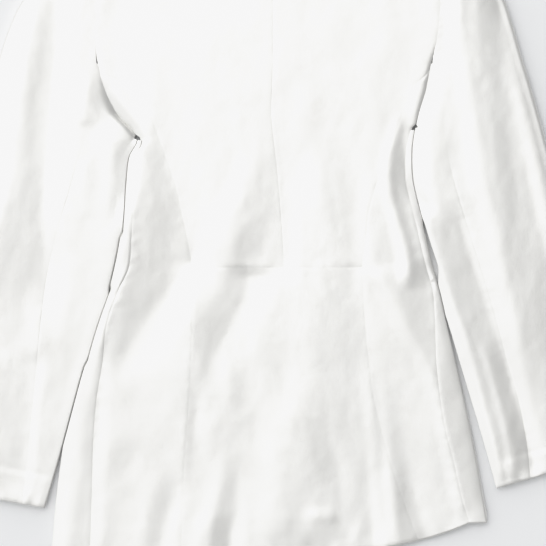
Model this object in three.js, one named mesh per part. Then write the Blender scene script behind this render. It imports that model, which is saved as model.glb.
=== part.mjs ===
// A fitted satin blazer with a peplum, laid flat with its back up.
// Millimetres. X points to the wearer's right, Y up to the collar, Z up from the surface that it lies on.
// Every piece of cloth is a wall round a middle surface. The body and both sleeves are worked out from
// tables of sections: each row is one section across the garment, and each column is a seam or an edge.
import * as THREE from "three";

// ---- driving sizes -------------------------------------------------------------------------------
const WALL = 1.2; // thickness of the cloth with its backing
const SEAM = 0.34; // gap between two pieces along a seam
const PLY = WALL + 0.4; // step from one layer to the next where they lie on each other
const LOW = WALL / 2; // middle of the lowest layer
const LOFT = 10.4; // middle of the back layer over the surface
const SLEEVE_ROLL = 7; // how far the rolled edge of a sleeve reaches in
const NECK_X = 73; // half width of the neck at the shoulder seam
const NECK_Y = 374; // height of the neck point
const OVERLAP = 25; // the fronts pass the centre by this much
const BREAK_Y = 2; // where the lapels begin to turn back
const BUTTON = { x: 1, y: -24, radius: 10, thick: 2.4 };
const CENTRE = { x: 0.6, y: 5.9 }; // middle of the garment's box, which becomes the origin

// Body: y at the centre and at both edges, depth of the rolled edge, then x of edge, side seam,
// princess seam, centre back, princess seam, side seam and edge, from the wearer's left to right.
const BODY = [
  { row: "shoulder", yC: 356.4, yL: 319.2, yR: 319.2, roll: 0, eL: -200.4, sL: -200.4, pL: -200.4, cb: 0.0, pR: 195.6, sR: 195.6, eR: 195.6 },
  { row: "yoke", yC: 322.8, yL: 294.0, yR: 294.0, roll: 0, eL: -207.6, sL: -207.6, pL: -207.6, cb: -0.5, pR: 199.2, sR: 199.2, eR: 199.2 },
  { row: "blade", yC: 286.8, yL: 267.6, yR: 267.6, roll: 0, eL: -212.4, sL: -212.4, pL: -212.4, cb: -1.1, pR: 199.2, sR: 199.2, eR: 199.2 },
  { row: "upper", yC: 243.6, yL: 234.0, yR: 234.0, roll: 0, eL: -214.8, sL: -214.8, pL: -214.8, cb: -1.2, pR: 195.6, sR: 195.6, eR: 195.6 },
  { row: "notch", yC: 205.2, yL: 202.8, yR: 202.8, roll: 0, eL: -211.2, sL: -211.2, pL: -209.7, cb: -1.2, pR: 186.9, sR: 188.4, eR: 188.4 },
  { row: "arm1", yC: 171.6, yL: 169.2, yR: 171.6, roll: 0, eL: -201.6, sL: -201.6, pL: -159.6, cb: -2.4, pR: 164.4, sR: 182.4, eR: 182.4 },
  { row: "arm2", yC: 145.2, yL: 141.6, yR: 147.6, roll: 0, eL: -187.2, sL: -187.2, pL: -148.8, cb: -3.3, pR: 156.0, sR: 175.2, eR: 175.2 },
  { row: "underarm", yC: 118.8, yL: 114.0, yR: 127.2, roll: 2.4, eL: -163.8, sL: -160.0, pL: -139.0, cb: -1.2, pR: 146.7, sR: 165.4, eR: 169.2 },
  { row: "chest", yC: 94.8, yL: 90.0, yR: 99.6, roll: 5, eL: -172.8, sL: -166.4, pL: -130.7, cb: 1.7, pR: 137.3, sR: 158.6, eR: 165.0 },
  { row: "rib", yC: 61.2, yL: 57.6, yR: 63.6, roll: 7, eL: -176.4, sL: -168.0, pL: -119.3, cb: 5.2, pR: 123.8, sR: 157.8, eR: 166.2 },
  { row: "rib2", yC: 25.2, yL: 25.2, yR: 25.2, roll: 7, eL: -178.2, sL: -169.8, pL: -111.1, cb: 8.1, pR: 113.6, sR: 166.8, eR: 175.2 },
  { row: "high_waist", yC: -10.8, yL: -10.8, yR: -10.8, roll: 7, eL: -179.4, sL: -171.0, pL: -103.4, cb: 10.6, pR: 110.0, sR: 175.2, eR: 183.6 },
  { row: "waist", yC: -41.4, yL: -42.0, yR: -39.6, roll: 7, eL: -182.4, sL: -174.0, pL: -98.2, cb: 11.7, pR: 105.7, sR: 182.1, eR: 190.5 },
  { row: "hip1", yC: -70.8, yL: -70.8, yR: -69.6, roll: 7, eL: -195.6, sL: -187.2, pL: -97.6, cb: 11.0, pR: 107.2, sR: 190.5, eR: 198.9 },
  { row: "hip2", yC: -110.4, yL: -110.4, yR: -106.8, roll: 7, eL: -210.6, sL: -201.0, pL: -98.3, cb: 10.2, pR: 109.3, sR: 193.2, eR: 207.4 },
  { row: "hip3", yC: -154.8, yL: -153.6, yR: -146.4, roll: 7, eL: -222.3, sL: -205.6, pL: -99.8, cb: 9.3, pR: 113.7, sR: 194.4, eR: 217.0 },
  { row: "seat", yC: -200.4, yL: -198.0, yR: -186.0, roll: 7, eL: -230.0, sL: -212.9, pL: -102.2, cb: 8.4, pR: 119.8, sR: 198.5, eR: 226.4 },
  { row: "low1", yC: -248.4, yL: -244.8, yR: -226.8, roll: 7, eL: -237.6, sL: -216.8, pL: -105.6, cb: 7.8, pR: 131.1, sR: 205.5, eR: 235.7 },
  { row: "low2", yC: -296.4, yL: -291.6, yR: -265.2, roll: 7, eL: -244.1, sL: -218.3, pL: -108.7, cb: 7.1, pR: 144.7, sR: 215.8, eR: 243.5 },
  { row: "low3", yC: -342.0, yL: -336.0, yR: -303.6, roll: 7, eL: -249.0, sL: -219.6, pL: -110.4, cb: 6.5, pR: 159.6, sR: 224.5, eR: 250.3 },
  { row: "hem", yC: -381.6, yL: -375.6, yR: -336.0, roll: 7, eL: -252.0, sL: -220.7, pL: -111.6, cb: 6.0, pR: 173.1, sR: 234.0, eR: 256.0 },
];
const UNDERARM = 7,
  NOTCH = 4,
  WAIST = 12,
  HEM = BODY.length - 1;

// Sleeves: inner point, outer point, depth of the inner roll, and the hind and fore seams as
// fractions of the way across. Rows 0 to 7 start on the armhole, at the body's own rows.
const SLEEVE_R = [
  { xi: 195.6, yi: 319.2, xo: 204.0, yo: 334.8, roll: 0, hind: 0, fore: 0 },
  { xi: 199.2, yi: 294.0, xo: 230.4, yo: 331.2, roll: 0, hind: 0, fore: 0 },
  { xi: 199.2, yi: 267.6, xo: 256.8, yo: 312.0, roll: 0, hind: 0, fore: 0 },
  { xi: 195.6, yi: 234.0, xo: 274.8, yo: 284.4, roll: 0, hind: 0, fore: 0 },
  { xi: 188.4, yi: 202.8, xo: 286.8, yo: 249.6, roll: 0, hind: 0.02, fore: 0.02 },
  { xi: 182.4, yi: 171.6, xo: 296.4, yo: 216.0, roll: 0, hind: 0.12, fore: 0.19 },
  { xi: 175.2, yi: 147.6, xo: 304.8, yo: 188.4, roll: 0, hind: 0.18, fore: 0.3 },
  { xi: 170.4, yi: 127.2, xo: 310.8, yo: 168.0, roll: 2.4, hind: 0.23, fore: 0.38 },
  { xi: 166.8, yi: 99.6, xo: 319.2, yo: 138.0, roll: 5, hind: 0.26, fore: 0.43 },
  { xi: 168.0, yi: 63.6, xo: 328.8, yo: 102.0, roll: 7, hind: 0.28, fore: 0.47 },
  { xi: 177.0, yi: 25.2, xo: 339.6, yo: 58.8, roll: 7, hind: 0.29, fore: 0.5 },
  { xi: 189.6, yi: -18.0, xo: 350.4, yo: 13.2, roll: 7, hind: 0.3, fore: 0.5 },
  { xi: 206.4, yi: -66.0, xo: 361.2, yo: -32.4, roll: 7, hind: 0.3, fore: 0.5 },
  { xi: 222.0, yi: -114.0, xo: 370.8, yo: -78.0, roll: 7, hind: 0.3, fore: 0.5 },
  { xi: 236.4, yi: -162.0, xo: 379.2, yo: -126.0, roll: 7, hind: 0.3, fore: 0.5 },
  { xi: 252.0, yi: -213.6, xo: 387.6, yo: -177.6, roll: 7, hind: 0.31, fore: 0.5 },
  { xi: 266.4, yi: -262.8, xo: 394.8, yo: -229.2, roll: 7, hind: 0.29, fore: 0.5 },
  { xi: 277.2, yi: -302.4, xo: 399.6, yo: -266.4, roll: 7, hind: 0.25, fore: 0.5 },
];
const SLEEVE_L = [
  { xi: -200.4, yi: 319.2, xo: -208.8, yo: 334.8, roll: 0, hind: 0, fore: 0 },
  { xi: -207.6, yi: 294.0, xo: -236.4, yo: 332.4, roll: 0, hind: 0, fore: 0 },
  { xi: -212.4, yi: 267.6, xo: -266.4, yo: 315.6, roll: 0, hind: 0, fore: 0 },
  { xi: -214.8, yi: 234.0, xo: -288.0, yo: 294.0, roll: 0, hind: 0, fore: 0 },
  { xi: -211.2, yi: 202.8, xo: -306.0, yo: 272.4, roll: 0, hind: 0.02, fore: 0.02 },
  { xi: -201.6, yi: 169.2, xo: -318.0, yo: 246.0, roll: 0, hind: 0.12, fore: 0.19 },
  { xi: -187.2, yi: 141.6, xo: -326.4, yo: 222.0, roll: 0, hind: 0.2, fore: 0.3 },
  { xi: -165.0, yi: 114.0, xo: -333.6, yo: 195.6, roll: 2.4, hind: 0.27, fore: 0.38 },
  { xi: -175.2, yi: 90.0, xo: -339.6, yo: 169.2, roll: 5, hind: 0.3, fore: 0.43 },
  { xi: -178.8, yi: 57.6, xo: -345.6, yo: 138.0, roll: 7, hind: 0.34, fore: 0.47 },
  { xi: -181.8, yi: 18.0, xo: -352.8, yo: 90.0, roll: 7, hind: 0.38, fore: 0.5 },
  { xi: -188.4, yi: -25.2, xo: -360.0, yo: 37.2, roll: 7, hind: 0.42, fore: 0.5 },
  { xi: -199.2, yi: -70.8, xo: -368.4, yo: -18.0, roll: 7, hind: 0.43, fore: 0.5 },
  { xi: -214.8, yi: -118.8, xo: -375.6, yo: -74.4, roll: 7, hind: 0.4, fore: 0.5 },
  { xi: -230.4, yi: -169.2, xo: -381.6, yo: -132.0, roll: 7, hind: 0.36, fore: 0.5 },
  { xi: -244.8, yi: -222.0, xo: -387.6, yo: -188.4, roll: 7, hind: 0.32, fore: 0.5 },
  { xi: -260.4, yi: -279.6, xo: -393.6, yo: -249.6, roll: 7, hind: 0.27, fore: 0.5 },
  { xi: -274.8, yi: -328.8, xo: -398.4, yo: -307.2, roll: 7, hind: 0.22, fore: 0.5 },
];

// The largest folds of the top layer: a soft ridge (+) or trough (-) along a line, mm.
const FOLDS = [
  { name: "chest_swell", x0: 0, y0: 60, x1: 0, y1: 230, width: 95, height: 2.2 },
  { name: "centre_back_hollow", x0: -7, y0: 100, x1: -34, y1: -34, width: 26, height: -1.6 },
  { name: "waist_dip_left", x0: -80, y0: -62, x1: -28, y1: -80, width: 19, height: -1.5 },
  { name: "waist_dip_right", x0: 52, y0: -62, x1: 94, y1: -80, width: 19, height: -1.5 },
  { name: "peplum_swell", x0: 4, y0: -70, x1: -2, y1: -250, width: 46, height: 2.0 },
  { name: "hip_ridge_left", x0: -106, y0: -68, x1: -175, y1: -200, width: 24, height: 2.2 },
  { name: "hip_ridge_right", x0: 122, y0: -56, x1: 185, y1: -168, width: 18, height: 2.4 },
  { name: "hip_ridge_right_low", x0: 185, y0: -168, x1: 227, y1: -322, width: 18, height: 2.2 },
  { name: "flute_left_trough", x0: -58, y0: -266, x1: -55, y1: -380, width: 14, height: -2.6 },
  { name: "flute_left_ridge", x0: -80, y0: -218, x1: -85, y1: -350, width: 15, height: 2.2 },
  { name: "flute_side_trough", x0: -127, y0: -284, x1: -149, y1: -370, width: 16, height: -2.2 },
  { name: "flute_mid_trough", x0: 36, y0: -240, x1: 74, y1: -340, width: 13, height: -2.2 },
  { name: "flute_mid_ridge", x0: 13, y0: -280, x1: 58, y1: -340, width: 17, height: 2.2 },
  { name: "flute_right_trough", x0: 142, y0: -260, x1: 166, y1: -368, width: 22, height: -2.6 },
  { name: "side_hollow_right", x0: 142, y0: 112, x1: 180, y1: -38, width: 20, height: -1.5 },
  { name: "side_hollow_left", x0: -137, y0: 64, x1: -137, y1: -68, width: 26, height: -1.3 },
  { name: "sleeve_trough_left", x0: -275, y0: 280, x1: -302, y1: 8, width: 17, height: -2.8 },
  { name: "sleeve_trough_right", x0: 247, y0: 280, x1: 289, y1: 29, width: 17, height: -2.8 },
  { name: "sleeve_trough_right_low", x0: 289, y0: 29, x1: 323, y1: -121, width: 17, height: -2.4 },
  { name: "sleeve_ridge_right", x0: 224, y0: 250, x1: 236, y1: 40, width: 20, height: 1.3 },
];

// ---- small helpers -------------------------------------------------------------------------------
const lerp = THREE.MathUtils.lerp,
  clamp = THREE.MathUtils.clamp;
const smooth = (a, b, v) => THREE.MathUtils.smoothstep(v, a, b);
const across = (table, column, r) => {
  const k = clamp(Math.floor(r), 0, table.length - 2);
  return lerp(table[k][column], table[k + 1][column], r - k);
};
const steps = (a, b, n) => Array.from({ length: n + 1 }, (_, i) => lerp(a, b, i / n));
const segmentDistance = (x, y, s) => {
  const dx = s.x1 - s.x0,
    dy = s.y1 - s.y0;
  const t = clamp(((x - s.x0) * dx + (y - s.y0) * dy) / (dx * dx + dy * dy), 0, 1);
  return Math.hypot(x - s.x0 - t * dx, y - s.y0 - t * dy);
};
// Distance outside a closed outline, 0 inside it.
const outside = (outline, x, y) => {
  let inside = false,
    d = Infinity;
  outline.forEach(([ax, ay], i) => {
    const [bx, by] = outline[(i + 1) % outline.length];
    if (ay > y !== by > y && x < ((bx - ax) * (y - ay)) / (by - ay) + ax) inside = !inside;
    d = Math.min(d, segmentDistance(x, y, { x0: ax, y0: ay, x1: bx, y1: by }));
  });
  return inside ? 0 : d;
};

// ---- a wall round a grid of points ---------------------------------------------------------------
// P[i][j] are the points of the middle surface; has(i, j) says which cells are cloth.
function wall(P, has = () => true, thickness = WALL) {
  const n = P.length,
    m = P[0].length,
    cell = (i, j) => i >= 0 && j >= 0 && i < n - 1 && j < m - 1 && has(i, j);
  const positions = [],
    index = new Map(),
    tris = [];
  const vertex = (i, j, side) => {
    const key = (i * m + j) * 2 + side;
    if (!index.has(key)) {
      const normal = new THREE.Vector3();
      for (const [a, b] of [[0, 0], [-1, 0], [0, -1], [-1, -1]]) {
        const r = i + a,
          c = j + b;
        if (!cell(r, c)) continue;
        const u = P[r][c + 1].clone().sub(P[r][c]).add(P[r + 1][c + 1]).sub(P[r + 1][c]);
        const v = P[r + 1][c].clone().sub(P[r][c]).add(P[r + 1][c + 1]).sub(P[r][c + 1]);
        normal.add(u.cross(v).normalize());
      }
      normal.normalize();
      const p = P[i][j].clone().addScaledVector(normal, (side ? 0.5 : -0.5) * thickness);
      index.set(key, positions.length / 3);
      positions.push(p.x, p.y, p.z);
    }
    return index.get(key);
  };
  const quad = (a, b, c, d) => tris.push(a, b, c, a, c, d);
  for (let i = 0; i < n - 1; i++)
    for (let j = 0; j < m - 1; j++) {
      if (!cell(i, j)) continue;
      const t = [vertex(i, j, 1), vertex(i, j + 1, 1), vertex(i + 1, j + 1, 1), vertex(i + 1, j, 1)];
      const b = [vertex(i, j, 0), vertex(i, j + 1, 0), vertex(i + 1, j + 1, 0), vertex(i + 1, j, 0)];
      quad(...t);
      quad(b[3], b[2], b[1], b[0]);
      if (!cell(i - 1, j)) quad(t[1], t[0], b[0], b[1]);
      if (!cell(i, j + 1)) quad(t[2], t[1], b[1], b[2]);
      if (!cell(i + 1, j)) quad(t[3], t[2], b[2], b[3]);
      if (!cell(i, j - 1)) quad(t[0], t[3], b[3], b[0]);
    }
  const g = new THREE.BufferGeometry();
  g.setAttribute("position", new THREE.Float32BufferAttribute(positions, 3));
  g.setIndex(tris);
  // Turn it outside out where the grid runs the other way round.
  let volume = 0;
  const [A, B, C] = [new THREE.Vector3(), new THREE.Vector3(), new THREE.Vector3()];
  for (let i = 0; i < tris.length; i += 3) {
    A.fromArray(positions, tris[i] * 3);
    B.fromArray(positions, tris[i + 1] * 3);
    C.fromArray(positions, tris[i + 2] * 3);
    volume += A.dot(B.cross(C));
  }
  if (volume < 0) g.setIndex(tris.map((_, i) => tris[i - (i % 3) + [0, 2, 1][i % 3]]));
  g.computeVertexNormals();
  return g;
}

// ---- the layers' heights -------------------------------------------------------------------------
const topHeight = (x, y) => {
  let z = LOFT;
  for (const f of FOLDS) {
    const d = segmentDistance(x, y, f) / f.width;
    if (d < 3) z += f.height * Math.exp(-d * d);
  }
  return z;
};
// Outline of the right lapel and collar end, which lie under the right front; the left is mirrored.
const ROLL_LINE = { x0: -OVERLAP, y0: BREAK_Y, x1: NECK_X - 3, y1: NECK_Y - 8 };
const rollX = (y) => lerp(ROLL_LINE.x0, ROLL_LINE.x1, (y - ROLL_LINE.y0) / (ROLL_LINE.y1 - ROLL_LINE.y0));
const LAPEL = [
  { name: "break", y: BREAK_Y + 4, edge: 3 },
  { name: "low", y: 60, edge: 44 },
  { name: "mid", y: 120, edge: 70 },
  { name: "high", y: 180, edge: 86 },
  { name: "point", y: 236, edge: 96 },
  { name: "step", y: 262, edge: 74 },
  { name: "gorge", y: 296, edge: 42 },
];
const LEAF = [
  { name: "gorge", y: 300, edge: 44 },
  { name: "collar_point", y: 312, edge: 62 },
  { name: "side", y: 335, edge: 52 },
];
const lapelOutline = [
  [-OVERLAP, BREAK_Y],
  ...LAPEL.map((s) => [rollX(s.y) + s.edge, s.y]),
  [rollX(335) + 56, 335],
  [112, 372],
  [NECK_X, NECK_Y + 14],
];
const frontOutline = [
  [-OVERLAP, BREAK_Y],
  [ROLL_LINE.x1, ROLL_LINE.y1],
  [NECK_X, NECK_Y],
  [260, 330],
  [260, -380],
  [-OVERLAP, -380],
];
const ramp = (d) => 1 - smooth(24, 62, d);
const rise = (x, y) => {
  const lapelUnder = PLY * ramp(outside(lapelOutline, x, y));
  const button = (BUTTON.thick + 0.5) * (1 - smooth(26, 70, Math.hypot(x - BUTTON.x, y - BUTTON.y)));
  return Math.max(lapelUnder, button);
};
const heightFrontR = (x, y) => LOW + rise(x, y);
const heightLapelL = (x, y) => {
  const on = ramp(outside(frontOutline, x, y));
  return LOW + on * (PLY + rise(x, y));
};
const heightFrontL = (x, y) => heightLapelL(x, y) + (PLY + 0.9) * ramp(outside(lapelOutline, -x, y));

// ---- body ----------------------------------------------------------------------------------------
const xAt = (column, r) => across(BODY, column, r);
// Fraction of the way from the outer seam of the back to its centre at which the neck begins.
const neckAt = (r) => lerp(0.5, 0.635, clamp(1 - r / 3, 0, 1));
const ROWS = [0, 0.06, 0.26, ...steps(1, HEM, HEM - 1)];
const shoulderY = (x) => {
  const tip = x < 0 ? { x: -200.4, y: 319.2 } : { x: 195.6, y: 319.2 };
  const a = Math.abs(x);
  if (a <= NECK_X) return lerp(BODY[0].yC, NECK_Y, Math.pow(a / NECK_X, 2.2));
  return lerp(NECK_Y, tip.y, (a - NECK_X) / (Math.abs(tip.x) - NECK_X));
};
const rowY = (r, x) => {
  const cb = xAt("cb", r),
    left = x < cb,
    e = xAt(left ? "eL" : "eR", r);
  const t = clamp((x - cb) / (e - cb), 0, 1);
  return lerp(xAt("yC", r), xAt(left ? "yL" : "yR", r), Math.pow(t, r < 3.5 ? 1.5 : 3));
};
// A point of the body in plan. at(r) gives x on a whole row.
const planPoint = (r, at, y = rowY) => {
  const k = Math.floor(r),
    f = r - k;
  const one = (q) => {
    const x = at(q);
    return [x, q === 0 ? shoulderY(x) : y(q, x)];
  };
  const a = one(k);
  if (f < 1e-6) return a;
  const b = one(k + 1);
  return [lerp(a[0], b[0], f), lerp(a[1], b[1], f)];
};
// Near the shoulder line both layers come together in a quarter round.
const closing = (r, x) => {
  if (r >= 0.26) return 1;
  const quarter = Math.sqrt(1 - Math.pow(1 - r / 0.26, 2));
  return lerp(1, quarter, smooth(NECK_X - 8, NECK_X + 14, Math.abs(x)));
};
const upperAt = (r, x, y) => {
  const top = topHeight(x, y),
    mid = (LOW + top) / 2 + 0.6;
  return lerp(mid, top, closing(r, x));
};
const lowerAt = (height, r, x, y) => {
  const low = height(x, y),
    mid = (LOW + topHeight(x, y)) / 2 - 0.6;
  return lerp(mid, low, closing(r, x));
};
// One column of a back panel: x from seam a to seam b at fraction f, eased off both seams.
const between = (a, b, f, easeA, easeB) => (r) =>
  lerp(xAt(a, r) + easeA, xAt(b, r) + easeB, f);
function backPanel(columns, rows, yShift = () => 0) {
  return rows.map((r, i) =>
    columns.map((at) => {
      const [x, y] = planPoint(r, at);
      const yy = y + yShift(i, rows.length);
      return new THREE.Vector3(x, yy, upperAt(r, x, y));
    }),
  );
}
const half = SEAM / 2;
const centreColumns = (p, side) => [
  ...steps(0, 1, 4).map((f) => (r) => lerp(xAt(p, r) - side * half, lerp(xAt(p, r), xAt("cb", r), neckAt(r)), f)),
  ...steps(0, 1, 4).slice(1).map((f) => (r) => lerp(lerp(xAt(p, r), xAt("cb", r), neckAt(r)), xAt("cb", r) + side * half, f)),
];
const bodiceRows = ROWS.filter((r) => r <= WAIST),
  peplumRows = ROWS.filter((r) => r >= WAIST),
  sideRows = ROWS.filter((r) => r >= NOTCH);
const P = {};
for (const [name, side, p, s] of [["L", -1, "pL", "sL"], ["R", 1, "pR", "sR"]]) {
  P["back_center_" + name] = {
    grid: backPanel(centreColumns(p, side), bodiceRows, (i, n) => (i === n - 1 ? half : 0)),
  };
  P["back_side_" + name] = {
    grid: backPanel(
      steps(0, 1, 4).map((f) => between(p, s, f, side * half, -side * half)),
      sideRows,
    ),
  };
}
P.peplum_center = {
  grid: backPanel(
    steps(0, 1, 14).map((f) => between("pL", "pR", f, half, -half)),
    peplumRows,
    (i) => (i === 0 ? -half : 0),
  ),
};

// Fronts: flat under the back, rolled round the side edge, and on to the side seam on the back.
const FRONT_COLUMNS = 7,
  ROLL_STEPS = 4;
function front(side, s, e, height) {
  const inner = (r) => {
    // the centre edge below the break, the roll line above it
    const y = r === 0 ? NECK_Y : xAt("yC", r);
    const x = r === 0 ? NECK_X : y > BREAK_Y ? Math.min(rollX(y), NECK_X) : -OVERLAP;
    return side * x;
  };
  const lift = [0, 0.2, 0.55, 1]; // the front hem rises towards its rounded corner
  const y = (r, x) => {
    const k = r - (HEM - 3),
      near = 1 - smooth(-OVERLAP, 75, side * x);
    return rowY(r, x) + (k > 0 ? lift[Math.round(k)] * (6 + 52 * near * near) : 0);
  };
  const roll = (r) => xAt("roll", r);
  const edge = (r) => xAt(e, r) - side * WALL / 2;
  const grid = ROWS.map((r) => {
    const row = [];
    // underside, from the centre to the start of the roll or the armhole
    const end = (q) => (q < UNDERARM ? xAt(e, q) - side * half : edge(q) - side * roll(q));
    for (const f of steps(0, 1, FRONT_COLUMNS)) {
      const [x, yy] = planPoint(r, (q) => lerp(inner(q), end(q), f), y);
      row.push(new THREE.Vector3(x, yy, lowerAt(height, r, x, yy)));
    }
    // the roll, half way round, then the strip on top
    const base = row[row.length - 1],
      w = Math.max(roll(Math.ceil(r)), 0.5);
    const xTop = (q) => xAt(s, q) + side * half;
    const [xt, yt] = planPoint(r, xTop, rowY);
    const zt = topHeight(xt, yt);
    for (const a of steps(-90, 90, ROLL_STEPS).slice(1)) {
      const t = THREE.MathUtils.degToRad(a);
      row.push(
        new THREE.Vector3(
          base.x + side * w * Math.cos(t),
          base.y,
          lerp(base.z, zt, (Math.sin(t) + 1) / 2),
        ),
      );
    }
    row.push(new THREE.Vector3(xt, yt, zt));
    return row;
  });
  const has = (i, j) => j < FRONT_COLUMNS || ROWS[i] >= UNDERARM;
  return { grid, has };
}
P.front_L = front(-1, "sL", "eL", heightFrontL);
P.front_R = front(1, "sR", "eR", heightFrontR);

// ---- sleeves -------------------------------------------------------------------------------------
function sleeve(table, side) {
  const last = table.length - 1,
    rows = [0, 0.26, ...steps(1, last, last - 1)];
  const point = (r, f, inset = 0) => {
    const x = lerp(across(table, "xi", r), across(table, "xo", r), f),
      y = lerp(across(table, "yi", r), across(table, "yo", r), f);
    return [x + side * inset, y];
  };
  const length = (r) => {
    const [ax, ay] = point(r, 0),
      [bx, by] = point(r, 1);
    return Math.hypot(bx - ax, by - ay);
  };
  const zTop = (r, x, y) => lerp((LOW + topHeight(x, y)) / 2, topHeight(x, y), r < 0.26 ? 0.5 : 1);
  const zLow = (r, x, y) => lerp((LOW + topHeight(x, y)) / 2, LOW, r < 0.26 ? 0.5 : 1);
  const put = (r, f, inset, z) => {
    const [x, y] = point(r, f, inset);
    return new THREE.Vector3(x, y, z(r, x, y));
  };
  // Half way round a rolled edge. from and to are the points where it starts and ends.
  const roll = (from, to, outward, w) =>
    steps(0, 180, ROLL_STEPS)
      .slice(1, -1)
      .map((a) => {
        const t = THREE.MathUtils.degToRad(a),
          c = from.clone().lerp(to, (1 - Math.cos(t)) / 2);
        return c.addScaledVector(outward, w * Math.sin(t));
      });
  const inFrac = (r) => (r < UNDERARM ? 0 : (across(table, "roll", r) + WALL / 2) / length(r));
  const outFrac = (r) => 1 - (Math.min(SLEEVE_ROLL, length(r) * 0.5) + WALL / 2) / length(r);
  const direction = (r) => {
    const [ax, ay] = point(r, 0),
      [bx, by] = point(r, 1);
    return new THREE.Vector3(bx - ax, by - ay, 0).normalize();
  };
  const seam = (r) => (half + (r < 1 ? 0.4 : 0)) / length(r);
  const topGrid = rows.map((r) => {
    const h = across(table, "hind", r),
      q = across(table, "fore", r),
      o = outFrac(r),
      e = seam(r);
    const upper = steps(h + e, o, 6).map((f) => put(r, f, 0, zTop));
    const lower = steps(o, q + e, 4).map((f) => put(r, f, 0, zLow));
    const w = Math.min(SLEEVE_ROLL, length(r) * 0.5);
    return [...upper, ...roll(upper[6], lower[0], direction(r), w), ...lower];
  });
  const underRows = rows.filter((r) => r >= NOTCH);
  const underGrid = underRows.map((r) => {
    const h = across(table, "hind", r),
      q = across(table, "fore", r),
      i = inFrac(r),
      e = seam(r);
    const upper = steps(h - e, i + (r < UNDERARM ? e : 0), 2).map((f) => put(r, f, 0, zTop));
    const lower = steps(i + (r < UNDERARM ? e : 0), q - e, 3).map((f) => put(r, f, 0, zLow));
    const w = Math.max(across(table, "roll", r), 0.5);
    return [...upper, ...roll(upper[2], lower[0], direction(r).negate(), w), ...lower];
  });
  return {
    top: { grid: topGrid },
    under: { grid: underGrid, has: (i, j) => underRows[i] >= UNDERARM || j < 2 || j >= 2 + ROLL_STEPS },
  };
}
for (const [name, side, table] of [["L", -1, SLEEVE_L], ["R", 1, SLEEVE_R]]) {
  const s = sleeve(table, side);
  P["sleeve_top_" + name] = s.top;
  P["sleeve_under_" + name] = s.under;
}

// ---- lapels --------------------------------------------------------------------------------------
function lapel(side, height) {
  const grid = steps(0, LAPEL.length - 1, 2 * (LAPEL.length - 1)).map((r) =>
    steps(0, 1, 6).map((f) => {
      const y = across(LAPEL, "y", r),
        x = side * (rollX(y) + 0.8 + (across(LAPEL, "edge", r) - 0.8) * f);
      return new THREE.Vector3(x, y, height(x, y));
    }),
  );
  return { grid };
}
P.lapel_R = lapel(1, () => LOW);
P.lapel_L = lapel(-1, heightLapelL);

// ---- collar --------------------------------------------------------------------------------------
// Sections from the centre back to the collar's end: the neck seam S, the fold F and the outer edge O.
// turn is how far the section has passed round the shoulder, from the top (0) to under the front (1).
const COLLAR = [
  { name: "centre_back", sx: 0, sy: 358.2, fx: 0, fy: 383, ox: 0, oy: 338, turn: 0 },
  { name: "back", sx: 26, sy: 360.6, fx: 27, fy: 384.5, ox: 36, oy: 339.5, turn: 0 },
  { name: "nape_side", sx: 47, sy: 366.4, fx: 50, fy: 387, ox: 70, oy: 345, turn: 0 },
  { name: "shoulder_back", sx: 60, sy: 374, fx: 66, fy: 390, ox: 95, oy: 356, turn: 0.06 },
  { name: "shoulder_turn1", sx: 71, sy: 383, fx: 75, fy: 392, ox: 108, oy: 364.5, turn: 0.25 },
  { name: "shoulder_turn2", sx: 74, sy: 385, fx: 77, fy: 393, ox: 112, oy: 367.5, turn: 0.5 },
  { name: "shoulder_turn3", sx: 72, sy: 380.5, fx: 76, fy: 391, ox: 110, oy: 363, turn: 0.75 },
  { name: "shoulder_front", sx: 68, sy: 369, fx: 71, fy: 378, ox: 103, oy: 352, turn: 0.95 },
  { name: "front", sx: 66, sy: 352, fx: 69, fy: 354, ox: 107, oy: 340, turn: 1 },
  { name: "gorge", sx: 61, sy: 330, fx: 64, fy: 331, ox: 111, oy: 318, turn: 1 },
  { name: "end", sx: 54, sy: 300, fx: 57, fy: 300, ox: 99, oy: 298, turn: 1 },
];
const FALL_STEPS = 4,
  LAST_STAND = 4; // the stand runs to this section, then the collar is the fall alone
function collarSection(side, s) {
  const put = (ax, ay, bx, by, f, lift) => {
    const x = side * lerp(ax, bx, f),
      y = lerp(ay, by, f);
    const top = topHeight(x, y) + PLY,
      low = side > 0 ? LOW : heightLapelL(x, y);
    return new THREE.Vector3(x, y, lerp(top, low, (1 - Math.cos(Math.PI * s.turn)) / 2) - lift);
  };
  const fold = 1 - smooth(0, 0.25, s.turn);
  return [
    ...steps(1, 0.05, FALL_STEPS).map((f) => put(s.fx, s.fy, s.ox, s.oy, f, 0)),
    put(s.fx, s.fy, s.ox, s.oy, 0.0, (PLY / 2) * fold),
    ...[0.08, 0.5, 1].map((f) => put(s.fx, s.fy, s.sx, s.sy, f, PLY)),
  ];
}
const collarRows = [
  ...COLLAR.slice(1).reverse().map((s) => [-1, s]),
  ...COLLAR.map((s) => [1, s]),
];
P.collar = {
  grid: collarRows.map(([side, s]) => collarSection(side, s)),
  has: (i, j) => j <= FALL_STEPS || Math.abs(i + 0.5 - (COLLAR.length - 1)) < LAST_STAND,
};

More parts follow.
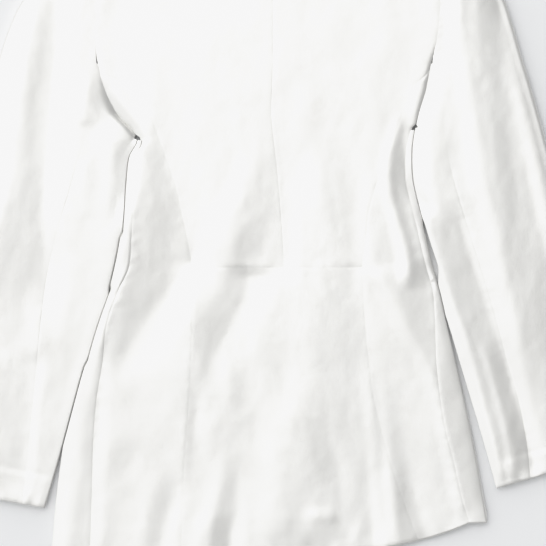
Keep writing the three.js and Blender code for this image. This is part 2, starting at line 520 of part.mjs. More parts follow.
// ---- the group -----------------------------------------------------------------------------------
const satin = (shade) =>
  new THREE.MeshStandardMaterial({ color: shade, roughness: 0.42, metalness: 0, side: THREE.DoubleSide });
const blazer = new THREE.Group();
blazer.name = "blazer";
for (const [name, { grid, has }] of Object.entries(P)) {
  const mesh = new THREE.Mesh(wall(grid, has), satin("#f4f4f2"));
  mesh.name = name;
  mesh.position.set(-CENTRE.x, -CENTRE.y, 0);
  blazer.add(mesh);
}
const disc = new THREE.LatheGeometry(
  [
    [0, 0],
    [BUTTON.radius - 1, 0],
    [BUTTON.radius, 0.6],
    [BUTTON.radius, BUTTON.thick - 0.6],
    [BUTTON.radius - 1, BUTTON.thick],
    [0, BUTTON.thick],
  ].map(([x, y]) => new THREE.Vector2(x, y)),
  24,
);
disc.rotateX(Math.PI / 2);
const button = new THREE.Mesh(
  disc,
  new THREE.MeshStandardMaterial({ color: "#ece9e2", roughness: 0.25, metalness: 0 }),
);
button.name = "button";
button.position.set(BUTTON.x - CENTRE.x, BUTTON.y - CENTRE.y, 0);
blazer.add(button);

export default blazer;
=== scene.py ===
import math

import bpy
import numpy as np
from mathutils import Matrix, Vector


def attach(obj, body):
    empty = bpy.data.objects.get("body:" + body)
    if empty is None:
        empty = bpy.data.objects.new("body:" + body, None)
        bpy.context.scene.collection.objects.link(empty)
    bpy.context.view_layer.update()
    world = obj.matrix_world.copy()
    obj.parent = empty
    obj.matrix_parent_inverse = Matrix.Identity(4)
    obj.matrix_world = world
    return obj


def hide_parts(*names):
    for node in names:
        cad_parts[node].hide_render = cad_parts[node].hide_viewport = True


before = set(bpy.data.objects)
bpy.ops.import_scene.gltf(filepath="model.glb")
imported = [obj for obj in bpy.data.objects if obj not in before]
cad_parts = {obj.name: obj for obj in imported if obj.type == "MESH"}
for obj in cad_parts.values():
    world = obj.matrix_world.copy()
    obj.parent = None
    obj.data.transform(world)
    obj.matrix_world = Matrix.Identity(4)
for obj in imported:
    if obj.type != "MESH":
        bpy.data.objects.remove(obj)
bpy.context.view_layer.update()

UNIT = 1.2  # one unit of the photo's frame, mm
CX, CY = 0.6, 5.9  # the garment's origin in the tables, mm
WALL, PLY, LOW = 0.9, 1.6, 0.6
LOFT_BODY, LOFT_SLEEVE = 10.6, 12.2
SLEEVE_ROLL = 8.0
NECK_X, NECK_Y = 73.0, 374.0
OVERLAP, BREAK_Y = 25.0, 2.0
BUTTON = dict(x=1.0, y=-24.0, radius=10.0, thick=2.4)
NOTCH, UNDERARM, WAIST, HEM = 4, 7, 12, 20

BODY_COLS = "yC yL yR roll eL sL pL cb pR sR eR".split()
BODY = np.array([
    # yC      yL      yR     roll  eL      sL      pL      cb    pR     sR     eR
    [356.4, 319.2, 319.2, 0.0, -200.4, -200.4, -200.4, 0.0, 195.6, 195.6, 195.6],  # shoulder
    [322.8, 294.0, 294.0, 0.0, -207.6, -207.6, -207.6, -0.5, 199.2, 199.2, 199.2],
    [286.8, 267.6, 267.6, 0.0, -212.4, -212.4, -212.4, -1.1, 199.2, 199.2, 199.2],
    [243.6, 234.0, 234.0, 0.0, -214.8, -214.8, -214.8, -1.2, 195.6, 195.6, 195.6],
    [205.2, 202.8, 202.8, 0.0, -211.2, -211.2, -209.7, -1.2, 186.9, 188.4, 188.4],  # notch
    [171.6, 169.2, 171.6, 0.0, -201.6, -201.6, -159.6, -2.4, 164.4, 182.4, 182.4],
    [145.2, 141.6, 147.6, 0.0, -187.2, -187.2, -148.8, -3.3, 156.0, 175.2, 175.2],
    [118.8, 114.0, 127.2, 2.4, -163.8, -160.0, -139.0, -1.2, 146.7, 165.4, 169.2],  # underarm
    [94.8, 90.0, 99.6, 5.0, -172.8, -166.4, -130.7, 1.7, 137.3, 158.6, 165.0],
    [61.2, 57.6, 63.6, 7.0, -176.4, -168.0, -119.3, 5.2, 123.8, 157.8, 166.2],
    [25.2, 25.2, 25.2, 7.0, -178.2, -169.8, -111.1, 8.1, 113.6, 166.8, 175.2],
    [-10.8, -10.8, -10.8, 7.0, -179.4, -171.0, -103.4, 10.6, 110.0, 175.2, 183.6],
    [-41.4, -42.0, -39.6, 7.0, -182.4, -174.0, -98.2, 11.7, 105.7, 182.1, 190.5],  # waist
    [-70.8, -70.8, -69.6, 7.0, -195.6, -187.2, -97.6, 11.0, 107.2, 190.5, 198.9],
    [-110.4, -110.4, -106.8, 7.0, -210.6, -201.0, -98.3, 10.2, 109.3, 193.2, 207.4],
    [-154.8, -153.6, -146.4, 7.0, -222.3, -205.6, -99.8, 9.3, 113.7, 194.4, 217.0],
    [-200.4, -198.0, -186.0, 7.0, -230.0, -212.9, -102.2, 8.4, 119.8, 198.5, 226.4],
    [-248.4, -244.8, -226.8, 7.0, -237.6, -216.8, -105.6, 7.8, 131.1, 205.5, 235.7],
    [-296.4, -291.6, -265.2, 7.0, -244.1, -218.3, -108.7, 7.1, 144.7, 215.8, 243.5],
    [-342.0, -336.0, -303.6, 7.0, -249.0, -219.6, -110.4, 6.5, 159.6, 224.5, 250.3],
    [-381.6, -375.6, -336.0, 7.0, -252.0, -220.7, -111.6, 6.0, 173.1, 234.0, 256.0],  # hem
])
SLEEVE_COLS = "xi yi xo yo roll hind fore".split()
SLEEVE_R = np.array([
    [195.6, 319.2, 204.0, 334.8, 0, 0, 0],
    [199.2, 294.0, 230.4, 331.2, 0, 0, 0],
    [199.2, 267.6, 256.8, 312.0, 0, 0, 0],
    [195.6, 234.0, 274.8, 284.4, 0, 0, 0],
    [188.4, 202.8, 286.8, 249.6, 0, 0.02, 0.02],
    [182.4, 171.6, 296.4, 216.0, 0, 0.12, 0.19],
    [175.2, 147.6, 304.8, 188.4, 0, 0.18, 0.3],
    [170.4, 127.2, 310.8, 168.0, 2.4, 0.23, 0.38],
    [166.8, 99.6, 319.2, 138.0, 5, 0.26, 0.43],
    [168.0, 63.6, 328.8, 102.0, 7, 0.28, 0.47],
    [177.0, 25.2, 339.6, 58.8, 7, 0.29, 0.5],
    [189.6, -18.0, 350.4, 13.2, 7, 0.3, 0.5],
    [206.4, -66.0, 361.2, -32.4, 7, 0.3, 0.5],
    [222.0, -114.0, 370.8, -78.0, 7, 0.3, 0.5],
    [236.4, -162.0, 379.2, -126.0, 7, 0.3, 0.5],
    [252.0, -213.6, 387.6, -177.6, 7, 0.31, 0.5],
    [266.4, -262.8, 394.8, -229.2, 7, 0.29, 0.5],
    [277.2, -302.4, 399.6, -266.4, 7, 0.25, 0.5],
])
SLEEVE_L = np.array([
    [-200.4, 319.2, -208.8, 334.8, 0, 0, 0],
    [-207.6, 294.0, -236.4, 332.4, 0, 0, 0],
    [-212.4, 267.6, -266.4, 315.6, 0, 0, 0],
    [-214.8, 234.0, -288.0, 294.0, 0, 0, 0],
    [-211.2, 202.8, -306.0, 272.4, 0, 0.02, 0.02],
    [-201.6, 169.2, -318.0, 246.0, 0, 0.12, 0.19],
    [-187.2, 141.6, -326.4, 222.0, 0, 0.2, 0.3],
    [-165.0, 114.0, -333.6, 195.6, 2.4, 0.27, 0.38],
    [-175.2, 90.0, -339.6, 169.2, 5, 0.3, 0.43],
    [-178.8, 57.6, -345.6, 138.0, 7, 0.34, 0.47],
    [-181.8, 18.0, -352.8, 90.0, 7, 0.38, 0.5],
    [-188.4, -25.2, -360.0, 37.2, 7, 0.42, 0.5],
    [-199.2, -70.8, -368.4, -18.0, 7, 0.43, 0.5],
    [-214.8, -118.8, -375.6, -74.4, 7, 0.4, 0.5],
    [-230.4, -169.2, -381.6, -132.0, 7, 0.36, 0.5],
    [-244.8, -222.0, -387.6, -188.4, 7, 0.32, 0.5],
    [-260.4, -279.6, -393.6, -249.6, 7, 0.27, 0.5],
    [-274.8, -328.8, -398.4, -307.2, 7, 0.22, 0.5],
])

# Folds of the upper layer, each a face of the cloth that falls from a crest to a valley. on: B body, L and R
# sleeves. slope is its fall per mm, soft the rounding of its edges in mm, wl and wr how far it takes to come
# back behind the crest and past the valley, in frame units, and ends the share of its length over which it
# fades in and out. Crest and valley are lines of points in frame units, drawn so that the valley is on the
# left hand.
FOLDS = [
    # name, on, slope, soft, wl, wr, ends, crest, valley
    ("side_left", "B", 0.105, 3.0, 14, 42, (0.15, 0.15),
     [(144, 112), (143, 150), (139, 190), (130, 215), (124, 240), (121, 265), (119, 290), (110, 320), (100, 350), (94, 385)],
     [(152, 108), (160, 145), (170, 178), (179, 208), (187, 238), (192, 260), (168, 292), (146, 320), (128, 352), (112, 392)]),
    ("side_left_lip", "B", 0.011, 2.5, 10, 16, (0.3, 0.3), [(147, 190), (146, 215), (148, 245), (150, 265)], [(158, 185), (172, 212), (174, 240), (176, 265)]),
    ("centre_back", "B", 0.052, 3.0, 24, 18, (0.45, 0.2), [(266, 120), (254, 165), (243, 195), (230, 222), (219, 245), (208, 284)], [(280, 120), (283, 165), (284, 200), (285, 230), (285, 250), (285, 284)]),
    ("centre_back_dip", "B", 0.03, 3.0, 14, 10, (0.35, 0.2), [(270, 198), (250, 220), (232, 240), (218, 262)], [(276, 206), (270, 230), (262, 250), (254, 268)]),
    ("blade_right", "B", 0.034, 3.0, 20, 26, (0.35, 0.3), [(320, 128), (318, 160), (320, 195), (330, 228), (338, 265)], [(340, 128), (346, 160), (357, 190), (361, 225), (362, 265)]),
    ("side_right", "B", 0.16, 2.5, 12, 10, (0.2, 0.12), [(404, 100), (396, 135), (389, 160), (390, 190), (396, 215), (403, 238), (408, 262), (408, 290)], [(410, 100), (404, 135), (406, 165), (413, 190), (424, 208), (434, 236), (440, 262), (446, 290)]),
    ("side_right_lead", "B", 0.05, 4.0, 18, 12, (0.35, 0.2), [(384, 150), (376, 185), (371, 215), (372, 250), (378, 290)], [(394, 150), (398, 185), (405, 215), (414, 250), (424, 290)]),
    ("blade_edge_right", "B", 0.017, 3.0, 14, 8, (0.4, 0.4), [(382, 96), (378, 120), (380, 150)], [(398, 96), (395, 120), (388, 150)]),
    ("peplum_left", "B", 0.082, 2.0, 30, 34, (0.06, 0.25),
     [(195, 262), (194, 290), (192, 325), (190, 360), (188, 395), (185, 430), (182, 470), (180, 510)],
     [(250, 262), (246, 290), (234, 318), (220, 345), (206, 375), (198, 415), (192, 465), (188, 510)]),
    ("peplum_left_wide", "B", 0.028, 4.0, 10, 18, (0.2, 0.3), [(196, 320), (200, 370), (206, 420), (214, 470)], [(236, 320), (250, 370), (254, 420), (262, 470)]),
    ("peplum_left_spot", "B", 0.047, 3.0, 8, 10, (0.35, 0.35), [(230, 350), (228, 380), (232, 415)], [(244, 350), (244, 380), (244, 415)]),
    ("peplum_mid", "B", 0.034, 4.0, 34, 12, (0.08, 0.15),
     [(312, 262), (316, 300), (313, 340), (311, 380), (304, 410), (290, 440), (282, 480), (280, 560)],
     [(352, 262), (360, 300), (366, 340), (372, 380), (376, 410), (378, 440), (380, 480), (384, 560)]),
    ("peplum_mid_top", "B", 0.032, 3.0, 10, 16, (0.1, 0.5), [(316, 262), (324, 285), (330, 312)], [(352, 262), (350, 285), (346, 312)]),
    ("trough_right", "B", 0.078, 3.0, 10, 38, (0.25, 0.06),
     [(362, 325), (368, 355), (371, 390), (374, 430), (377, 470), (380, 510), (388, 560)],
     [(374, 325), (382, 355), (392, 390), (401, 430), (409, 470), (417, 510), (430, 560)]),
    ("trough_right_low", "B", 0.05, 3.0, 10, 14, (0.4, 0.06), [(384, 440), (390, 480), (396, 520), (402, 560)], [(398, 440), (410, 480), (420, 520), (430, 560)]),
    ("hip_right", "B", 0.075, 3.0, 10, 12, (0.06, 0.06),
     [(372, 256), (386, 290), (400, 318), (416, 346), (431, 372), (440, 402), (447, 440), (455, 474), (464, 516)],
     [(438, 256), (444, 290), (450, 325), (457, 356), (463, 382), (469, 410), (477, 446), (484, 482), (490, 520)]),
    ("hip_right_deep", "B", 0.03, 4.0, 8, 14, (0.25, 0.35), [(384, 268), (398, 296), (414, 330)], [(418, 268), (430, 296), (440, 330)]),
    ("right_panel", "B", 0.024, 5.0, 14, 6, (0.3, 0.1), [(402, 400), (412, 450), (420, 500), (428, 545)], [(436, 400), (444, 450), (452, 500), (462, 545)]),
    ("left_panel", "B", 0.018, 6.0, 14, 14, (0.3, 0.1), [(112, 400), (106, 450), (104, 500), (100, 560)], [(178, 400), (172, 450), (168, 500), (160, 560)]),
    ("flute_left", "B", 0.08, 3.0, 14, 12, (0.35, 0.1), [(160, 462), (154, 492), (148, 518), (140, 560)], [(172, 462), (174, 492), (168, 518), (156, 560)]),
    ("flute_mid", "B", 0.1, 3.0, 16, 14, (0.3, 0.06), [(222, 448), (222, 485), (214, 512), (204, 535), (200, 565)], [(238, 448), (236, 485), (234, 512), (232, 535), (230, 565)]),
    ("flute_mid_dip", "B", 0.05, 2.5, 8, 8, (0.4, 0.06), [(216, 510), (212, 532), (208, 565)], [(230, 510), (230, 532), (229, 565)]),
    ("curl", "B", 0.055, 3.0, 20, 12, (0.3, 0.25), [(298, 418), (306, 445), (316, 468), (328, 490), (332, 516)], [(318, 418), (331, 445), (338, 468), (342, 492), (343, 518)]),
    ("curl_foot", "B", 0.07, 3.0, 10, 10, (0.3, 0.3), [(342, 518), (320, 516), (296, 514)], [(340, 552), (322, 552), (302, 550)]),
    ("hem_spot", "B", 0.064, 2.5, 8, 10, (0.35, 0.2), [(368, 508), (358, 530), (350, 556)], [(378, 508), (374, 532), (364, 556)]),
    ("spot_side", "B", 0.037, 3.5, 10, 12, (0.35, 0.35), [(108, 432), (105, 460), (108, 490)], [(128, 432), (130, 460), (124, 490)]),
    ("hem_left", "B", 0.034, 3.0, 8, 12, (0.3, 0.1), [(102, 490), (100, 520), (96, 560)], [(122, 490), (118, 520), (108, 560)]),
    ("edge_strip_left", "B", 0.07, 1.6, 8, 10, (0.1, 0.04),
     [(110, 290), (96, 325), (87, 360), (80, 405), (74, 450), (68, 500), (62, 565)],
     [(122, 290), (110, 325), (103, 360), (98, 405), (95, 450), (92, 500), (89, 565)]),
    # sleeves
    ("left_trough", "L", 0.1, 3.5, 14, 24, (0.06, 0.2),
     [(30, -90), (28, 0), (25, 40), (21, 80), (16, 130), (11, 170), (2, 210), (-10, 250), (-18, 290), (-24, 345)],
     [(64, -90), (59, 0), (55, 45), (51, 95), (46, 140), (43, 180), (42, 220), (46, 262), (45, 300), (40, 350)]),
    ("left_trough_core", "L", 0.034, 3.0, 8, 8, (0.1, 0.3), [(38, -90), (36, 0), (30, 60), (26, 110), (22, 160), (16, 215)], [(52, -90), (50, 0), (43, 60), (39, 110), (36, 160), (32, 215)]),
    ("left_low", "L", 0.07, 3.0, 16, 10, (0.12, 0.12), [(-12, 350), (-6, 380), (-6, 410), (-10, 450), (-16, 495)], [(38, 352), (34, 380), (30, 410), (26, 450), (22, 495)]),
    ("left_low_dip", "L", 0.031, 4.0, 10, 14, (0.35, 0.3), [(34, 425), (34, 455), (30, 492)], [(58, 425), (58, 455), (50, 492)]),
    ("left_panel_low", "L", 0.033, 6.0, 12, 10, (0.35, 0.2), [(46, 270), (40, 330), (34, 400), (26, 480)], [(94, 270), (84, 330), (70, 400), (52, 480)]),
    ("left_head", "L", 0.07, 2.5, 12, 10, (0.3, 0.15), [(96, 64), (90, 84), (84, 104), (84, 126)], [(110, 64), (113, 86), (118, 108), (130, 132)]),
    ("left_pit", "L", 0.102, 1.5, 5, 6, (0.25, 0.4), [(136, 142), (135, 165), (135, 200)], [(142, 142), (141, 165), (141, 200)]),
    ("left_under", "L", 0.056, 4.0, 10, 12, (0.35, 0.35), [(84, 148), (84, 176), (88, 210)], [(98, 148), (102, 176), (100, 210)]),
    ("right_trough", "R", 0.085, 3.5, 20, 16, (0.06, 0.15),
     [(458, -90), (460, 0), (466, 50), (472, 90), (478, 130), (485, 172), (493, 212), (503, 255), (513, 300), (524, 352), (532, 400)],
     [(502, -90), (498, 0), (503, 50), (510, 90), (518, 130), (527, 172), (536, 212), (547, 255), (557, 300), (568, 352), (576, 400)]),
    ("right_trough_core", "R", 0.03, 3.0, 8, 10, (0.1, 0.3), [(476, -90), (476, 0), (481, 60), (488, 100), (493, 150), (500, 200), (510, 260)], [(490, -90), (490, 0), (497, 60), (504, 100), (510, 150), (518, 200), (530, 260)]),
    ("right_strip", "R", 0.09, 2.0, 8, 16, (0.12, 0.06),
     [(424, 196), (431, 232), (443, 272), (455, 308), (469, 350), (481, 394), (492, 438), (504, 488)],
     [(452, 196), (464, 238), (477, 278), (489, 316), (501, 352), (512, 386), (523, 424), (536, 478)]),
    ("right_strip_low", "R", 0.08, 2.5, 6, 10, (0.3, 0.06), [(474, 322), (488, 362), (499, 400), (508, 440), (514, 480)], [(492, 318), (505, 356), (515, 394), (525, 432), (536, 478)]),
    ("right_head", "R", 0.034, 3.0, 8, 8, (0.05, 0.2), [(417, -70), (419, 0), (420, 40), (424, 78)], [(448, -70), (447, 0), (447, 40), (450, 82)]),
    ("right_under", "R", 0.023, 4.0, 10, 10, (0.3, 0.3), [(444, 100), (440, 140), (434, 170), (432, 205)], [(454, 100), (458, 140), (462, 170), (464, 205)]),
    ("right_outer", "R", 0.019, 3.0, 10, 10, (0.1, 0.1), [(506, 40), (520, 110), (536, 180), (552, 250), (568, 330)], [(520, 40), (540, 110), (556, 180), (572, 250), (588, 330)]),
]
# Edges that hang lower: on, drop mm, width, points.
EDGES = [
    ("B", 0.5, 6, [(432, 262), (441, 290), (451, 335), (464, 390), (476, 442), (489, 540)]),
    ("B", 0.7, 6, [(126, 240), (118, 280), (100, 312), (86, 372), (74, 440), (63, 556)]),
    ("L", 3.0, 14, [(106, -40), (80, -46), (50, -32), (20, -4), (0, 52), (-14, 118), (-26, 202), (-39, 295), (-49, 390), (-60, 500)]),
    ("R", 3.0, 12, [(438, -40), (464, -46), (490, -30), (512, 22), (533, 93), (548, 148), (566, 222), (583, 298), (597, 381), (609, 470)]),
]

rng = np.random.RandomState(20260)


def smooth(a, b, v):
    t = np.clip((np.asarray(v, float) - a) / (b - a), 0, 1)
    return t * t * (3 - 2 * t)


def lerp(a, b, t):
    return a + (b - a) * t


def rows_of(table, columns, name, r):
    """A column of a table at fractional rows, straight below row 1 and a smooth curve after it."""
    c = table[:, columns.index(name)]
    r = np.asarray(r, float)
    k = np.clip(np.floor(r).astype(int), 0, len(c) - 2)
    t = r - k
    p0, p1, p2, p3 = c[np.maximum(k - 1, 0)], c[k], c[k + 1], c[np.minimum(k + 2, len(c) - 1)]
    p0 = np.where(k <= 0, 2 * p1 - p2, p0)
    p3 = np.where(k >= len(c) - 2, 2 * p2 - p1, p3)
    curve = 0.5 * (2 * p1 + (p2 - p0) * t + (2 * p0 - 5 * p1 + 4 * p2 - p3) * t**2 + (3 * p1 - p0 - 3 * p2 + p3) * t**3)
    return np.where(k < 1, lerp(p1, p2, t), curve)


def line_points(points, per=10):
    """A smooth curve through points, as an array."""
    p = np.array(points, float)
    if len(p) == 2:
        return np.array([lerp(p[0], p[1], t) for t in np.linspace(0, 1, per + 1)])
    q = np.vstack([2 * p[0] - p[1], p, 2 * p[-1] - p[-2]])
    out = []
    for i in range(1, len(q) - 2):
        for t in np.linspace(0, 1, per, endpoint=False):
            out.append(0.5 * (2 * q[i] + (q[i + 1] - q[i - 1]) * t + (2 * q[i - 1] - 5 * q[i] + 4 * q[i + 1] - q[i + 2]) * t**2
                              + (3 * q[i] - q[i - 1] - 3 * q[i + 1] + q[i + 2]) * t**3))
    out.append(p[-1])
    return np.array(out)


def to_line(x, y, line):
    """Distance to a line, the side (+ left of its direction) and the share of its length."""
    best = np.full(x.shape, 1e18)
    side = np.ones(x.shape)
    share = np.zeros(x.shape)
    seg = np.diff(line, axis=0)
    ln = np.hypot(seg[:, 0], seg[:, 1])
    total, run = max(ln.sum(), 1e-9), 0.0
    for (ax, ay), (dx, dy), l in zip(line[:-1], seg, ln):
        if l < 1e-9:
            continue
        t = np.clip(((x - ax) * dx + (y - ay) * dy) / (l * l), 0, 1)
        ex, ey = x - ax - t * dx, y - ay - t * dy
        d = ex * ex + ey * ey
        near = d < best
        best = np.where(near, d, best)
        side = np.where(near, np.sign(dx * ey - dy * ex), side)
        share = np.where(near, (run + t * l) / total, share)
        run += l
    return np.sqrt(best), side, share


# ---- fields over the plan, one value every GRID mm -----------------------------------------------
GRID = 1.5
GX = np.arange(-430, 431, GRID)
GY = np.arange(-420, 421, GRID)
MX, MY = np.meshgrid(GX, GY)


def sample(field, x, y):
    fx = np.clip((np.asarray(x) - GX[0]) / GRID, 0, len(GX) - 1.001)
    fy = np.clip((np.asarray(y) - GY[0]) / GRID, 0, len(GY) - 1.001)
    i, j = fx.astype(int), fy.astype(int)
    a, b = fx - i, fy - j
    return (field[j, i] * (1 - a) * (1 - b) + field[j, i + 1] * a * (1 - b) + field[j + 1, i] * (1 - a) * b + field[j + 1, i + 1] * a * b)


def smooth_noise(sx, sy, seed):
    """Noise with a standard deviation of 1 and a grain of sx by sy mm."""
    w = np.random.RandomState(seed).normal(size=MX.shape)
    kx = np.fft.fftfreq(MX.shape[1], GRID)
    ky = np.fft.fftfreq(MX.shape[0], GRID)
    f = np.exp(-((kx[None, :] * sx) ** 2 + (ky[:, None] * sy) ** 2) * 4.0)
    n = np.real(np.fft.ifft2(np.fft.fft2(w) * f))
    return n / n.std()


def frame_line(points):
    return line_points([((u - 274) * UNIT, (233 - v) * UNIT) for u, v in points])


def window(lines, reach):
    both = np.vstack(lines)
    lo, hi = both.min(axis=0) - reach, both.max(axis=0) + reach
    i0, i1 = np.searchsorted(GX, [lo[0], hi[0]])
    j0, j1 = np.searchsorted(GY, [lo[1], hi[1]])
    return slice(j0, j1), slice(i0, i1)


def face_of(wl, wr, ends, crest, valley):
    """The form of a fold with a fall of 1 mm per mm, and the window it fills."""
    crest, valley = frame_line(crest), frame_line(valley)
    at = window([crest, valley], max(wl, wr) * UNIT + 3)
    x, y = MX[at], MY[at]
    if x.size == 0:
        return at, x
    a, side, t1 = to_line(x, y, crest)
    b, back, t2 = to_line(x, y, valley)
    behind, past = side < 0, (back > 0) & (side >= 0)
    z = np.where(behind, (b - a) / 2 * (1 - smooth(0, wl * UNIT, a)),
                 np.where(past, -(a - b) / 2 * (1 - smooth(0, wr * UNIT, b)), (b - a) / 2))
    for t in (t1, t2):
        z = z * np.sqrt(smooth(0, ends[0], t) * smooth(0, ends[1], 1 - t))
    return at, z


def blur(field, radius):
    kx = np.fft.fftfreq(field.shape[1], GRID)
    ky = np.fft.fftfreq(field.shape[0], GRID)
    f = np.exp(-2 * (math.pi * radius) ** 2 * (kx[None, :] ** 2 + ky[:, None] ** 2))
    return np.real(np.fft.ifft2(np.fft.fft2(field) * f))


TOP = {}
for key, base in (("B", LOFT_BODY), ("L", LOFT_SLEEVE), ("R", LOFT_SLEEVE)):
    parts = {}
    for name, on, slope, soft, wl, wr, ends, crest, valley in FOLDS:
        if on == key:
            at, z = face_of(wl, wr, ends, crest, valley)
            parts.setdefault(soft, np.zeros(MX.shape))[at] += 0.88 * slope * z
    f = np.full(MX.shape, base)
    for soft, field in parts.items():
        f += blur(field, soft)
    for on, drop, width, points in EDGES:
        if on == key:
            line = frame_line(points)
            at = window([line], 3 * width * UNIT)
            d, _, t = to_line(MX[at], MY[at], line)
            f[at] -= drop * smooth(0, 0.12, t) * smooth(0, 0.12, 1 - t) * np.exp(-(d / (width * UNIT)) ** 2)
    # the cloth lies lower towards the hem and the cuffs
    f -= 2.2 * smooth(60, 340, -MY) if key == "B" else 3.4 * smooth(-60, 220, -MY)
    f += 0.14 * smooth_noise(26, 40, 11 + ord(key)) + 0.05 * smooth_noise(9, 16, 12 + ord(key)) + 0.02 * smooth_noise(5, 7, 13 + ord(key))
    TOP[key] = f
# Where a sleeve is sewn on or lies against the body, their heights run into each other: half and half at the
# armhole, the body's own below the underarm.
for key, e, end in (("L", "eL", 10.7), ("R", "eR", 10.3)):
    r = np.linspace(0, end, 120)
    line = np.stack([rows_of(BODY, BODY_COLS, e, r), rows_of(BODY, BODY_COLS, "y" + key, r)], axis=1)
    run = np.concatenate([[0], np.cumsum(np.hypot(*np.diff(line, axis=0).T))])
    d, _, t = to_line(MX, MY, line)
    at_row = np.interp(t, run / run[-1], r)
    body_share = lerp(0.5, 1.0, smooth(6.2, 7.2, at_row))
    mix = (1 - smooth(0, 26, d)) * (1 - smooth(0.93, 1.0, t))
    both = lerp(TOP[key], TOP["B"], mix * body_share)
    TOP["B"] = lerp(TOP["B"], TOP[key], mix * (1 - body_share))
    TOP[key] = both

# ---- the lower layers' heights -------------------------------------------------------------------
ROLL_LINE = (-OVERLAP, BREAK_Y, NECK_X - 3, NECK_Y - 8)


def roll_x(y):
    x0, y0, x1, y1 = ROLL_LINE
    return lerp(x0, x1, (np.asarray(y, float) - y0) / (y1 - y0))


LAPEL = [(BREAK_Y + 4, 3), (60, 44), (120, 70), (180, 86), (236, 96), (262, 74), (296, 42)]  # y, width
lapel_outline = [(-OVERLAP, BREAK_Y)] + [(float(roll_x(y)) + e, y) for y, e in LAPEL] + [
    (float(roll_x(335)) + 56, 335), (112, 372), (NECK_X, NECK_Y + 14)]
front_outline = [(-OVERLAP, BREAK_Y), ROLL_LINE[2:], (NECK_X, NECK_Y), (260, 330), (260, -380), (-OVERLAP, -380)]


def outside(outline, x, y):
    closed = np.array(list(outline) + [outline[0]], float)
    d, _, _ = to_line(x, y, closed)
    inside = np.zeros(x.shape, bool)
    for (ax, ay), (bx, by) in zip(closed[:-1], closed[1:]):
        if ay == by:
            continue
        hit = ((ay > y) != (by > y)) & (x < (bx - ax) * (y - ay) / (by - ay) + ax)
        inside ^= hit
    return np.where(inside, 0, d)


def ramp(d):
    return 1 - smooth(24, 62, d)


button_rise = (BUTTON["thick"] + 0.5) * (1 - smooth(26, 70, np.hypot(MX - BUTTON["x"], MY - BUTTON["y"])))
RISE = np.maximum(PLY * ramp(outside(lapel_outline, MX, MY)), button_rise)
FRONT_R = LOW + RISE
LAPEL_L = LOW + ramp(outside(front_outline, MX, MY)) * (PLY + RISE)
FRONT_L = LAPEL_L + (PLY + 0.9) * ramp(outside(lapel_outline, -MX, MY))
# The upper layer stays above the lower ones and below the rim of a stiff fold.
for key, floor_z in (("B", FRONT_L + 1.4), ("L", 3.4), ("R", 3.4)):
    TOP[key] = floor_z + 0.5 * np.logaddexp(0, (TOP[key] - floor_z) / 0.5)
    TOP[key] = 15.0 - 0.6 * np.logaddexp(0, (15.0 - TOP[key]) / 0.6)

# ---- meshes --------------------------------------------------------------------------------------
made = {}


def grid_normals(P, has):
    n, m, _ = P.shape
    N = np.zeros_like(P)
    u = P[:-1, 1:] - P[:-1, :-1] + P[1:, 1:] - P[1:, :-1]
    v = P[1:, :-1] - P[:-1, :-1] + P[1:, 1:] - P[:-1, 1:]
    c = np.cross(u, v)
    c /= np.maximum(np.linalg.norm(c, axis=2, keepdims=True), 1e-9)
    c *= has[:, :, None]
    N[:-1, :-1] += c
    N[:-1, 1:] += c
    N[1:, :-1] += c
    N[1:, 1:] += c
    return N / np.maximum(np.linalg.norm(N, axis=2, keepdims=True), 1e-9)


def shell(name, P, has=None, t=WALL):
    """A closed wall t mm thick round a grid of points. has says which cells are cloth."""
    n, m, _ = P.shape
    if has is None:
        has = np.ones((n - 1, m - 1), bool)
    N = grid_normals(P, has)
    used = np.zeros((n, m), bool)
    used[:-1, :-1] |= has
    used[:-1, 1:] |= has
    used[1:, :-1] |= has
    used[1:, 1:] |= has
    index = np.full((n, m), -1)
    index[used] = np.arange(used.sum())
    count = int(used.sum())
    Q, M = P[used], N[used]
    verts = np.vstack([Q + M * t / 2, Q - M * t / 2])
    verts[:, 0] -= CX
    verts[:, 1] -= CY
    a, b, c, d = index[:-1, :-1][has], index[:-1, 1:][has], index[1:, 1:][has], index[1:, :-1][has]
    top = np.stack([a, b, c, d], axis=1)
    faces = [top, top[:, ::-1] + count]
    pad = np.pad(has, 1)
    for di, dj, (p, q) in ((-1, 0, (b, a)), (0, 1, (c, b)), (1, 0, (d, c)), (0, -1, (a, d))):
        free = ~pad[1 + di:n + di, 1 + dj:m + dj][has]
        faces.append(np.stack([p[free], q[free], q[free] + count, p[free] + count], axis=1))
    faces = np.vstack(faces)
    # outside out
    v = verts
    f = faces
    vol = np.einsum("ij,ij->i", v[f[:, 0]], np.cross(v[f[:, 1]], v[f[:, 2]])) + np.einsum("ij,ij->i", v[f[:, 0]], np.cross(v[f[:, 2]], v[f[:, 3]]))
    if vol.sum() < 0:
        faces = faces[:, ::-1]
    me = bpy.data.meshes.new(name)
    me.from_pydata((verts * 0.001).tolist(), [], faces.tolist())
    me.validate()
    me.polygons.foreach_set("use_smooth", np.ones(len(me.polygons), bool))
    me.set_sharp_from_angle(angle=math.radians(55))
    me.update()
    ob = bpy.data.objects.new(name, me)
    bpy.context.scene.collection.objects.link(ob)
    e1 = np.linalg.norm(np.cross(P[1:, :-1] - P[:-1, :-1], P[:-1, 1:] - P[:-1, :-1]), axis=2) / 2
    e2 = np.linalg.norm(np.cross(P[1:, :-1] - P[1:, 1:], P[:-1, 1:] - P[1:, 1:]), axis=2) / 2
    made[name] = dict(ob=ob, area=float(((e1 + e2) * has).sum()) * 1e-6)
    return ob


def body(name, r):
    return rows_of(BODY, BODY_COLS, name, r)


def side_seam(key, r):
    """x of the side seam. Above the underarm it is the armhole itself."""
    return lerp(body("e" + key, r), body("s" + key, r), smooth(UNDERARM - 0.12, UNDERARM, r))


